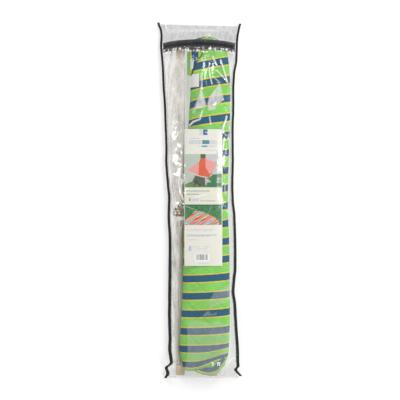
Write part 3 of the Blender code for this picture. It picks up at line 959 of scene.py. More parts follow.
        form = cloth_grid(self.around, self.along, place)
        runs = self.spiral_run()

        def on_cloth(spot: Vector, u: float, v: float) -> tuple[float, float]:
            column, row = round(u * self.around), round(v * self.along)
            y, run, rim = spot.y, runs[column], rims[(column, row)]
            bent = (rim - self.hem(-0.06)) * (1 - smooth(0.0, self.hem_bend, y - rim))
            skew = self.tilt(y) * (run - self.run_at_tilt)
            return self.drawn(y) - bent - skew - self.blue_at + self.offset, run

        map_cloth(form, on_cloth)
        piece = finish_mesh("rolled_bed", form, self.finish)
        thicken(piece, self.layer)
        return piece

    def spiral(self, u: float, turn: float, y: float) -> tuple[float, float]:
        """X and Z of the roll's spiral at a share of its run and the turn there."""
        centre, half, middle, rise = self.outline(y)
        share = u ** 1.5
        x = mix(centre, self.core[0], share) + mix(half, self.core_half[0], share) * math.sin(turn)
        z = mix(middle, self.core[1], share) + mix(rise, self.core_half[1], share) * math.cos(turn)
        return x, z

    def spiral_run(self) -> list[float]:
        """Length along the spiral at each step round it, at the middle of the roll."""
        runs, before, nearest = [0.0], None, 1.0
        for i in range(self.around + 1):
            u = i / self.around
            turn = self.start + 2 * math.pi * self.turns * u
            spot = Vector(self.spiral(u, turn, 0.0))
            if before is not None:
                runs.append(runs[-1] + (spot - before).length)
            before = spot
            if 0 < turn < math.radians(110) and abs(spot.x - self.tilt_from) < nearest:
                nearest = abs(spot.x - self.tilt_from)
                self.run_at_tilt = runs[-1]
        self.flat_length = runs[-1]
        return runs

    def lying(self, x: float, y: float, height: float) -> Vector:
        """A point of a loose piece of cloth, with the small ripples it has."""
        return Vector((x, y, height + 0.0007 * (1 + rough(x * 45, y * 45, 1.7))))

    def build_layer(self, name: str, left: Route, right: Route, lift: float, thickness: float,
                    finish: Material, first_stripe: float = 0.0) -> Piece:
        """A piece that lies on the roll between a left and a right edge.

        Args:
            name: The piece's name.
            left: X and Y along its left edge, from its foot up.
            right: X and Y along its right edge, from its foot up.
            lift: How far its underside is above the roll.
            thickness: Its thickness.
            finish: Its material.
            first_stripe: The place across the stripes at X of 0.

        Returns:
            The piece.
        """
        def place(u: float, v: float) -> Vector:
            x, y = (mix(a, b, u) for a, b in zip(along_route(left, v), along_route(right, v)))
            return self.lying(x, y, self.top(x, y) + lift + thickness)

        form = cloth_grid(36, 36, place)
        map_cloth(form, lambda spot, u, v: (first_stripe + spot.x + self.offset, spot.x + spot.y))
        return self.finish_layer(name, form, thickness, finish)

    @staticmethod
    def finish_layer(name: str, form: Form, thickness: float, finish: Material) -> Piece:
        """Turn a grid that lies on the roll into a sheet with a thickness."""
        bmesh.ops.recalc_face_normals(form, faces=form.faces)
        piece = finish_mesh(name, form, finish)
        thicken(piece, thickness)
        return piece

    def build_flaps(self) -> None:
        """The corner folded back by the zip end, with a dark tube along its fold as a painted shadow,
        and the inner turn that shows at the foot.
        """
        left = ((-0.0395, 0.526), (-0.0545, 0.531), (-0.0545, 0.634))
        right = ((-0.0375, 0.527), (-0.025, 0.556), (-0.0225, 0.574), (0.004, 0.606),
                 (0.018, 0.632))
        corner = self.build_layer("corner_flap", left, right, self.flap_lift, self.flap,
                                  self.finish, -self.green_edge - 0.0135 + 0.0545)
        settle(corner, Body.PACK, Slot.CLOTH, "bed_corner_flap")
        # A near-black navy tube along the flap's folded edge: the bed's piping, and a painted shadow of
        # the gap under the fold.
        edge = []
        for k in range(40):
            x, y = along_route((left[0], *right), k / 39)
            edge.append(Vector((x, y, self.top(x, y) + 0.0044)))
        form = ring_tube(curve_points(edge, 0.002), 8, self.fold_shadow_radius, UP)
        navy = WovenTape("navy_fold_shadow", (0.004, 0.010, 0.022), 0.001).make()
        fit("flap_piping", form, navy, Slot.CLOTH)
        foot = ((-0.021, -0.7235), (0.015, -0.736), (0.045, -0.74), (0.078, -0.73),
                (0.106, -0.69))
        head = ((-0.021, -0.72), (0.03, -0.704), (0.07, -0.685), (0.104, -0.66))
        settle(self.build_lens("end_flap", foot, head), Body.PACK, Slot.CLOTH, "bed_end_flap")

    def build_lens(self, name: str, foot: Route, head: Route) -> Piece:
        """The slanting end of an inner turn, its hem along the foot edge.

        Args:
            name: The piece's name.
            foot: X and Y along its hem, from the left.
            head: X and Y along its other edge, from the left.

        Returns:
            The piece.
        """
        def place(u: float, v: float) -> Vector:
            x, y = (mix(a, b, v) for a, b in zip(along_route(foot, u), along_route(head, u)))
            return self.lying(x, y, min(self.top(x, y), self.end_flap_top) + self.flap_lift
                              + self.flap)

        def on_cloth(_: Vector, u: float, v: float) -> tuple[float, float]:
            span = Vector(along_route(head, u)) - Vector(along_route(foot, u))
            return self.green_edge + self.end_hem - v * span.length + self.offset, u * 0.13

        form = cloth_grid(48, 24, place)
        map_cloth(form, on_cloth)
        return self.finish_layer(name, form, self.flap, self.finish)

    def build_labels(self) -> None:
        """The blank care label beside the flap, a pale patch that is partly a painted highlight of the
        film, and the label tail that shows on the flap.
        """
        paper = Plain("pale_label_and_highlight", (0.80, 0.80, 0.79), 0.55).make()
        label = self.build_layer(
            "blank_care_label", ((-0.0480, 0.475), (-0.0495, 0.531)),
            ((-0.004, 0.475), (-0.0035, 0.531)), 0.0008, self.label, paper)
        settle(label, Body.PACK, Slot.LABEL, "care_label")
        tail = self.build_layer(
            "label_tail", ((-0.0400, 0.546), (-0.0415, 0.588)),
            ((-0.029, 0.556), (-0.026, 0.592)), 0.005, self.label, paper)
        settle(tail, Body.PACK, Slot.LABEL)

    def build(self) -> None:
        """Build the roll, the flaps and the labels, and put them in the frame."""
        roll = self.build_roll()
        settle(roll, Body.PACK, Slot.CLOTH, "hammock_bed")
        self.build_flaps()
        self.build_labels()


# ---- the bag -------------------------------------------------------------------------------------


@dataclass(frozen=True)
class Fold:
    """A sharp crease in the film: a tent along a broken line, with a painted white highlight at its
    ridge.
    """

    line: Route
    width: float
    height: float
    # Strength of the painted white highlight along the ridge.
    white: float = 0.0

    def ridge(self, x: float, y: float) -> float:
        """How near X and Y are to the crease's ridge, from 0 at its edge to 1."""
        best = self.width
        for (ax, ay), (bx, by) in zip(self.line, self.line[1:]):
            if min(ax, bx) - x > best or x - max(ax, bx) > best:
                continue
            if min(ay, by) - y > best or y - max(ay, by) > best:
                continue
            dx, dy = bx - ax, by - ay
            share = ((x - ax) * dx + (y - ay) * dy) / (dx * dx + dy * dy)
            share = min(max(share, 0.0), 1.0)
            best = min(best, math.hypot(x - ax - dx * share, y - ay - dy * share))
        return 1 - best / self.width


@dataclass
class ClearBag:
    """The clear film and the black tape bound over its two long seams."""

    shape: PackShape
    arc: ZipArc
    front_columns: int = 130
    back_columns: int = 24
    rows: int = 560
    overlap: float = 0.01
    film_end: float = 0.757
    ring_at: tuple[float, float] = (-0.08, -0.046)
    ring_clear: float = 0.026
    zip_calm: tuple[float, float] = (0.022, 0.055)
    film_z: float = 0.024
    splay: tuple[float, float] = (0.0025, 0.0035)
    tape_half: float = 0.0045
    tape_gap: float = 0.0009
    tape_wall: float = 0.0007
    tape_rows: int = 420
    # Each fold's last number, where given, is the strength of its painted white highlight.
    folds: Sequence[Fold] = (
        Fold(((0.0535, 0.604), (0.0725, 0.561)), 0.0055, 0.0014, 0.8),
        Fold(((0.087, 0.588), (0.1005, 0.545), (0.115, 0.497)), 0.0065, 0.0017, 0.95),
        Fold(((0.071, 0.543), (0.1085, 0.505)), 0.0055, 0.0014, 0.8),
        Fold(((0.038, 0.561), (0.042, 0.518), (0.05, 0.486)), 0.0055, 0.0014, 0.75),
        Fold(((0.058, 0.513), (0.084, 0.492)), 0.005, 0.0012, 0.6),
        Fold(((0.0055, 0.529), (0.007, 0.484), (0.0045, 0.454)), 0.0055, 0.0015, 0.85),
        Fold(((0.0045, 0.454), (-0.01, 0.41), (-0.026, 0.366)), 0.013, 0.003, 0.3),
        Fold(((0.08, 0.485), (0.097, 0.422), (0.06, 0.395)), 0.008, 0.0022, 0.5),
        Fold(((-0.044, 0.311), (-0.028, 0.327), (-0.0015, 0.336), (0.01, 0.372)),
             0.0075, 0.002, 0.8),
        Fold(((0.041, 0.345), (0.044, 0.317)), 0.0065, 0.0018, 0.7),
        Fold(((0.112, 0.352), (0.108, 0.334), (0.0955, 0.302), (0.0985, 0.282)),
             0.0085, 0.0022, 0.9),
        Fold(((0.1215, 0.322), (0.1225, 0.298)), 0.005, 0.0012, 0.6),
        Fold(((0.119, 0.276), (0.12, 0.245)), 0.0055, 0.0012, 0.7),
        Fold(((0.1015, 0.262), (0.0955, 0.224), (0.1, 0.21)), 0.0055, 0.0014, 0.75),
        Fold(((0.1015, 0.188), (0.1, 0.146)), 0.007, 0.0016, 0.85),
        Fold(((0.104, 0.07), (0.1055, 0.02)), 0.005, 0.0012, 0.5),
        Fold(((0.074, 0.206), (0.076, 0.182)), 0.006, 0.0012, 0.5),
        Fold(((-0.039, 0.003), (0.017, 0.021)), 0.0075, 0.0018, 0.5),
        Fold(((-0.081, 0.135), (-0.0895, 0.073), (-0.082, 0.028), (-0.071, 0.003)),
             0.0085, 0.0022, 0.95),
        Fold(((-0.12, 0.3), (-0.112, 0.2), (-0.118, 0.12)), 0.008, 0.0016, 0.5),
        Fold(((-0.104, 0.48), (-0.098, 0.4), (-0.104, 0.33)), 0.008, 0.0018, 0.6),
        Fold(((-0.12, -0.2), (-0.112, -0.32), (-0.118, -0.42)), 0.008, 0.0014, 0.35),
        Fold(((0.13, -0.35), (0.056, -0.389), (0.036, -0.427), (0.008, -0.492)), 0.016, 0.0016),
        Fold(((0.122, -0.535), (0.075, -0.505), (0.045, -0.515), (-0.054, -0.515)), 0.016, 0.0014),
        Fold(((0.122, -0.684), (0.132, -0.672), (0.146, -0.667)), 0.007, 0.0018, 0.95),
        Fold(((-0.12, -0.56), (-0.095, -0.6)), 0.007, 0.0016, 0.3),
        Fold(((-0.122, -0.69), (-0.1, -0.668)), 0.007, 0.0018, 0.4),
        Fold(((-0.15, 0.56), (-0.13, 0.5), (-0.14, 0.44)), 0.009, 0.002, 0.6),
        Fold(((-0.12, 0.58), (-0.105, 0.52), (-0.112, 0.47)), 0.008, 0.0018, 0.6),
    )
    # White patches on the film's front, each with its strength: the two strong ones over the roll are
    # painted glare, the three faint ones at the foot a light haze.
    glare_and_haze_patches: Sequence[tuple[float, Route]] = (
        (0.65, ((0.0043, 0.473), (-0.0037, 0.43), (-0.0184, 0.398), (-0.022, 0.38), (0.022, 0.386),
                (0.0257, 0.398), (0.0163, 0.43))),
        (0.6, ((0.0804, 0.485), (0.0884, 0.47), (0.0991, 0.422), (0.0684, 0.401), (0.064, 0.378),
                (0.036, 0.372), (0.031, 0.398), (0.039, 0.43), (0.0577, 0.457))),
        (0.18, ((0.132, -0.352), (0.058, -0.386), (0.037, -0.427), (0.04, -0.452),
                (0.132, -0.418))),
        (0.18, ((0.008, -0.486), (0.034, -0.462), (0.048, -0.476), (0.072, -0.47),
                (0.066, -0.482))),
        (0.18, ((-0.054, -0.514), (-0.025, -0.5), (0.045, -0.515), (0.075, -0.503), (0.126, -0.535),
                (0.12, -0.7), (0.06, -0.745), (-0.07, -0.745), (-0.052, -0.65))),
    )

    def crease(self, x: float, y: float) -> float:
        """Height of the film's creases and crinkles at a place seen from above."""
        loose = smooth(0.03, -0.09, x)
        spot = Vector((x * mix(20, 34, loose), y * 7.5, 0.3))
        sway = spot * 0.7
        bend = Vector((noise.noise(sway), noise.noise(sway + Vector((7, 3, 1))), 0)) * 0.9
        facets = min(self.cell_edge(spot + bend), 0.45)
        small = min(self.cell_edge(Vector((x * 70, y * 30, 1.9)) + bend), 0.5)
        fine = noise.fractal(Vector((x * 150, y * 60, 2.0)), 0.9, 2.2, 2)
        lively = smooth(0.27, 0.4, y) + 0.6 * smooth(-0.3, -0.42, y)
        broad = mix(0.0016, 0.0034, max(loose, lively))
        crinkle = mix(0.00035, 0.0011, max(loose, 0.3 * lively))
        height = broad * facets + crinkle * small + 0.00012 * fine
        return height + sum(fold.height * max(fold.ridge(x, y), 0.0) for fold in self.folds)

    @staticmethod
    def cell_edge(spot: Vector) -> float:
        """How far a place is from the edge of its cell in a random pattern of cells."""
        near = noise.voronoi(spot)[0]
        return near[1] - near[0]

    def pucker(self, angle: float, side: float) -> float:
        """Height of the small gathers where the film is sewn down beside the zip."""
        reach = 1 - smooth(self.overlap + 0.002, self.overlap + 0.026, abs(side))
        wave = math.sin(angle * 150 + 3 * math.sin(angle * 37) + 1.5 * math.sin(angle * 91))
        ridge = rough(angle * 60, side * 90, 4.0)
        return (0.0011 * wave + 0.0022 * ridge) * reach

    def front(self, u: float, y: float) -> Vector:
        """A smooth point on the front of the bag, u from 0 at the left seam to 1 at the right."""
        left, right, seam, crown = self.shape.row(y)
        half = (right - left) / 2 - self.shape.root
        turn = math.pi * (1 - u)
        power = 2 / self.shape.curve
        x = abs(math.cos(turn)) ** power * (1 if math.cos(turn) > 0 else -1)
        rise = max(math.sin(turn), 0.0) ** power
        z = seam + (crown - seam) * rise
        spot = Vector(((left + right) / 2 + half * x, y, z))
        near = 1 - smooth(0.024, 0.08, abs(y - self.arc.y))
        if near > 0:
            angle = self.arc.reach * (2 * u - 1)
            side = (y - self.arc.y) / math.cos(self.arc.lean)
            lift = 0.0009 * (1 - smooth(0.025, 0.032, abs(side)))
            lift += self.pucker(angle, side) + 0.0012 * (1 - smooth(0.018, 0.036, abs(side)))
            near *= smooth(0.0, 0.02, min(u, 1 - u))
            spot = spot.lerp(self.arc.at(angle, side, lift), near)
        return spot

    def front_point(self, u: float, y: float) -> Vector:
        """A point on the creased front of the bag."""
        spot = self.front(u, y)
        edge = smooth(0.0, 0.1, min(u, 1 - u))
        calm = smooth(*self.zip_calm, abs(y - self.arc.y))
        end = smooth(0.0, 0.02, self.film_end - abs(y))
        left, right, _, _ = self.shape.row(y)
        out = Vector(((spot.x - (left + right) / 2) * 3.2, 0, 1)).normalized()
        return spot + out * (self.crease(spot.x, y) - 0.0012) * edge * calm * end

    def back_point(self, u: float, y: float) -> Vector:
        """A point on the back, which lies on the floor between its two seams."""
        left, right, seam, _ = self.shape.row(y)
        inner_left, inner_right = left + self.shape.root, right - self.shape.root
        x = mix(inner_right, inner_left, u)
        edge = min(x - inner_left, inner_right - x)
        lift = seam * (1 - smooth(0.0, 0.016, edge)) ** 1.4
        ripple = 0.0006 * (1 + rough(x * 30, y * 16, 5.0)) * smooth(0.01, 0.03, edge)
        return Vector((x, y, lift + ripple * smooth(0.0, 0.03, self.film_end - abs(y))))

    def build_film(self) -> None:
        """The film: its front, slit across for the zip, and its back, as separate sheets in one mesh."""
        reach = self.overlap * math.cos(self.arc.lean)
        spans = ((self.foot_edge, lambda u: self.arc.y - reach, self.rows),
                 (lambda u: self.arc.y + reach, self.top_edge, self.rows // 9))
        form = bmesh.new()
        for low, high, rows in spans:
            piece = cloth_grid(self.front_columns, rows,
                               lambda u, v, a=low, b=high: self.front_point(u, mix(a(u), b(u), v)))
            join(form, piece)
        front = len(form.verts)
        back = cloth_grid(self.back_columns, self.rows // 3, lambda u, v: self.back_point(
            u, mix(self.foot_edge(1 - u), self.top_edge(1 - u), v)))
        join(form, back)
        # Front points carry the painted glare and haze; all points carry the painted shade.
        glare_and_haze = form.verts.layers.float.new("glare_and_haze")
        painted_shade = form.verts.layers.float.new("painted_shade")
        for index, vertex in enumerate(form.verts):
            vertex[glare_and_haze] = self.glare_and_haze_at(vertex.co) if index < front else 0.0
            vertex[painted_shade] = self.painted_shade_at(vertex.co)
        fit("clear_bag_film", form, ClearFilm().make(), Slot.FILM, "bag_film")

    @staticmethod
    def top_edge(u: float) -> float:
        """Y of the film's zip end, which slopes down to the right."""
        return 0.7545 - 0.009 * u + 0.001 * math.sin(9 * u)

    @staticmethod
    def foot_edge(u: float) -> float:
        """Y of the film's foot, which hangs lowest right of its middle."""
        return -0.76 - 0.0055 * math.exp(-((u - 0.66) / 0.2) ** 2) - 0.001 * math.sin(7 * u)

    def glare_and_haze_at(self, spot: Vector) -> float:
        """How white the film is: painted glare in patches and along creases, painted glints below the
        zip, and a whitened strip beside the roll, uneven as if crumpled, that near the foot paints over
        the roll's shade.
        """
        x, y = spot.x, spot.y
        if spot.z < self.film_z * smooth(-0.68, -0.56, y):
            return 0.0
        white = max(share * sum(inside(patch, x + a, y + b) for a, b in SOFT_TAPS) / len(SOFT_TAPS)
                    for share, patch in self.glare_and_haze_patches)
        # Each fold's ridge gets its painted white highlight.
        for fold in self.folds:
            if fold.white:
                white = max(white, fold.white * smooth(0.3, 0.8, fold.ridge(x, y)))
        # Beside the roll the film is whitened, at random and more so towards the foot, where this paints
        # over the shade of the roll seen through the film.
        ring = math.hypot((x - self.ring_at[0]) / self.ring_clear,
                          (y - self.ring_at[1]) / self.ring_clear)
        edge = 0.033 * y - 0.07
        beside = smooth(edge, edge - 0.016, x) * smooth(0.8, 1.5, ring) * smooth(0.63, 0.6, y)
        crumple = noise.fractal(Vector((x * 42, y * 15, 3.0)), 0.9, 2.1, 3)
        thick = mix(0.34, 0.52, smooth(-0.62, -0.1, y)) + 0.22 * smooth(-0.54, -0.66, y)
        white = max(white, beside * (thick + 0.34 * crumple))
        # Painted glints on the gathered film just below the zip.
        below = self.arc.y - y
        if 0.006 < below < 0.034:
            painted_glint_noise = rough(x * 130, y * 95, 6.0)
            white = max(white, smooth(0.02, 0.22, painted_glint_noise) * smooth(0.006, 0.014, below)
                        * (1 - smooth(0.022, 0.034, below)))
        return min(max(white, 0.0), 1.0)

    @staticmethod
    def painted_shade_at(spot: Vector) -> float:
        """How much painted shade darkens the film: past the zip, and where it closes flat at the foot.
        """
        return smooth(0.664, 0.685, spot.y) + 0.55 * smooth(-0.69, -0.735, spot.y)

    def tape_outline(self) -> list[tuple[float, float]]:
        """The folded tape's section, its open side at -U."""
        half, inner, outer = self.tape_half, self.tape_gap, self.tape_gap + self.tape_wall
        bend = half - inner
        outline = [(-half, inner)]
        for i in range(7):
            turn = math.radians(90 - 30 * i)
            outline.append((bend + inner * math.cos(turn), inner * math.sin(turn)))
        outline += [(-half, -inner), (-half, -outer)]
        for i in range(7):
            turn = math.radians(-90 + 30 * i)
            outline.append((bend + outer * math.cos(turn) * 0.9, outer * math.sin(turn)))
        return [*outline, (-half, outer)]

    def build_binding(self, side: str, column: int, ends: tuple[float, float]) -> None:
        """One folded tape down a long seam.

        Args:
            side: The seam's side, left or right.
            column: 0 for the left seam, 1 for the right.
            ends: Y of the tape's two ends, past the film's at the zip end and at the foot.
        """
        outline = self.tape_outline()
        sign = 1 if column else -1

        def middle(y: float) -> Vector:
            row = self.shape.row(y)
            x, z = row[column], row[2]
            for limit, splay in zip(ends, self.splay):
                past = smooth(abs(limit) - 0.012, abs(limit), abs(y)) if y * limit > 0 else 0.0
                x += sign * splay * past
                z -= 0.003 * past
            wave = 0.0007 * rough(y * 26, column * 5.0, 0.0)
            return Vector((x + wave, y, max(z + wave, 0.0022)))

        def place(u: float, v: float) -> Vector:
            y = mix(ends[1], ends[0], v)
            across, lift = outline[int(round(u * len(outline))) % len(outline)]
            across *= mix(1.04, 1.34, smooth(0.3, -0.55, y))
            twist = 0.22 * rough(y * 9, 4.0 + column, 1.0)
            turned = Vector((across * math.cos(twist) - lift * math.sin(twist), 0,
                             across * math.sin(twist) + lift * math.cos(twist)))
            return middle(y) + Vector((sign * turned.x, 0, turned.z))

        form = cloth_grid(len(outline), self.tape_rows, place, (0.022, 1.52), joined=True)
        close_ends(form)
        finish = WovenTape("binding_webbing", (0.006, 0.006, 0.007)).make()
        fit(side + "_binding", form, finish, Slot.WEBBING, "binding_" + side)

    def build(self) -> None:
        """Build the film and both bindings."""
        self.build_film()
        self.build_binding("left", 0, (0.762, -0.763))
        self.build_binding("right", 1, (0.757, -0.754))


# ---- the zip -------------------------------------------------------------------------------------


@dataclass
class FrontZip:
    """The zip across the front: two woven tapes, two rows of coil teeth, stops, slider and pull."""

    arc: ZipArc
    tape_edges: tuple[float, float] = (0.0182, 0.0237)
    coil: tuple[float, float] = (0.0008, 0.003)
    coil_half: float = 0.0011
    tape_half: float = 0.0003
    pitch: float = 0.0024
    stop_span: float = math.radians(1.4)
    tape_inset: float = math.radians(0.4)
    tooth_share: float = 0.62
    stitch_length: float = 0.003
    stitch_gap: float = 0.0012
    stitch_rod: float = 0.00035
    stitch_side: float = 0.0122
    stitch_lift: float = 0.0022

    def build_tape(self, name: str, sign: int, finish: Material) -> None:
        """One woven tape, sunk under the teeth at its inner edge."""
        limit = self.arc.reach - self.tape_inset
        outer = self.tape_edges[0 if sign > 0 else 1]

        def place(u: float, v: float) -> Vector:
            angle = mix(-limit, limit, v)
            side = sign * mix(0.0, outer, u)
            wave = 0.00025 * math.sin(angle * 60 + sign) * u
            sunk = 0.0012 * (1 - smooth(0.0028, 0.0042, abs(side)))
            return self.arc.at(angle, side, wave + self.tape_half - sunk)

        form = cloth_grid(12, 320, place, (outer, 2 * limit * self.arc.radius))
        bmesh.ops.recalc_face_normals(form, faces=form.faces)
        piece = finish_mesh("tape_" + name, form, finish)
        thicken(piece, 2 * self.tape_half)
        settle(piece, Body.PACK, Slot.WEBBING, "zip_tape_" + name)

    @staticmethod
    def tooth() -> bpy.types.Mesh:
        """One coil tooth as a rounded cube of size 1."""
        form = bmesh.new()
        bmesh.ops.create_cube(form, size=1.0)
        round_edges(form, 0.22, 1)
        mesh = bpy.data.meshes.new("tooth")
        form.to_mesh(mesh)
        form.free()
        return mesh

    def build_coil(self, name: str, sign: int, finish: Material) -> None:
        """One row of coil teeth, each a small rounded loop across the edge of the tape."""
        limit = self.arc.reach - self.arc.margin - self.stop_span
        count = int(2 * limit * self.arc.radius / self.pitch)
        shift = 0.5 if sign > 0 else 0.25
        mesh = self.tooth()
        form = bmesh.new()
        middle = (self.coil[0] + self.coil[1]) / 2
        for i in range(count):
            angle = -limit + (i + shift) * self.pitch / self.arc.radius
            known = len(form.verts)
            form.from_mesh(mesh)
            form.verts.ensure_lookup_table()
            along, out = self.arc.along(angle), self.arc.out(angle)
            centre = self.arc.at(angle, sign * middle)
            for vertex in form.verts[known:]:
                spot = vertex.co.copy()
                vertex.co = (centre + along * spot.x * self.pitch * self.tooth_share
                             + self.arc.across * spot.y * (self.coil[1] - self.coil[0])
                             + out * spot.z * 2 * self.coil_half)
        bpy.data.meshes.remove(mesh)
        fit("coil_" + name, form, finish, Slot.TEETH, "zip_teeth_" + name)

    def build_stitches(self, finish: Material) -> None:
        """Two rows of stitches that hold the film down on the tapes."""
        limit = self.arc.reach - self.arc.margin * 1.4
        step = self.stitch_length + self.stitch_gap
        form = bmesh.new()
        for sign in (-1, 1):
            for i in range(int(2 * limit * self.arc.radius / step)):
                start = -limit + i * step / self.arc.radius
                points = []
                for k in range(5):
                    angle = start + k / 4 * self.stitch_length / self.arc.radius
                    lift = self.stitch_lift + math.sin(math.pi * k / 4) * 0.0006
                    points.append(self.arc.at(angle, sign * self.stitch_side, lift))
                join(form, ring_tube(points, 5, self.stitch_rod, self.arc.across))
        fit("zip_stitching", form, finish, Slot.WEBBING)

    def build(self) -> None:
        """Build the tapes and teeth, and dress the slider, the pull and the stops."""
        tape = WovenTape("zip_tape", (0.010, 0.010, 0.011), 0.0009).make()
        coil = BareMetal("coil_nylon", (0.014, 0.014, 0.016), 0.30, metallic=0.0).make()
        thread = WovenTape("black_thread", (0.012, 0.012, 0.013), 0.0006).make()
        for name, sign in (("upper", 1), ("lower", -1)):
            self.build_tape(name, sign, tape)
            self.build_coil(name, sign, coil)
        self.build_stitches(thread)
        black = BareMetal("black_enamel", (0.022, 0.022, 0.025), 0.26, metallic=0.25).make()
        for node in ("zip_slider", "zip_pull", "zip_stop_left", "zip_stop_right"):
            dress(bpy.data.objects[node], black)


# ---- the insert card -----------------------------------------------------------------------------


@dataclass(frozen=True)
class Ink:
    """One printed shape: an outline in millimetres from the card's top left corner."""

    outline: Route
    colour: Colour
    grain: float = 0.0
    stripe: float = 0.0

    def box(self) -> tuple[float, float, float, float]:
        """The outline's least and greatest X and Y."""
        xs, ys = zip(*self.outline)
        return min(xs), max(xs), min(ys), max(ys)


def block(left: float, right: float, top: float, foot: float, colour: Colour,
          grain: float = 0.0) -> Ink:
    """A printed rectangle."""
    return Ink(((left, top), (right, top), (right, foot), (left, foot)), colour, grain)


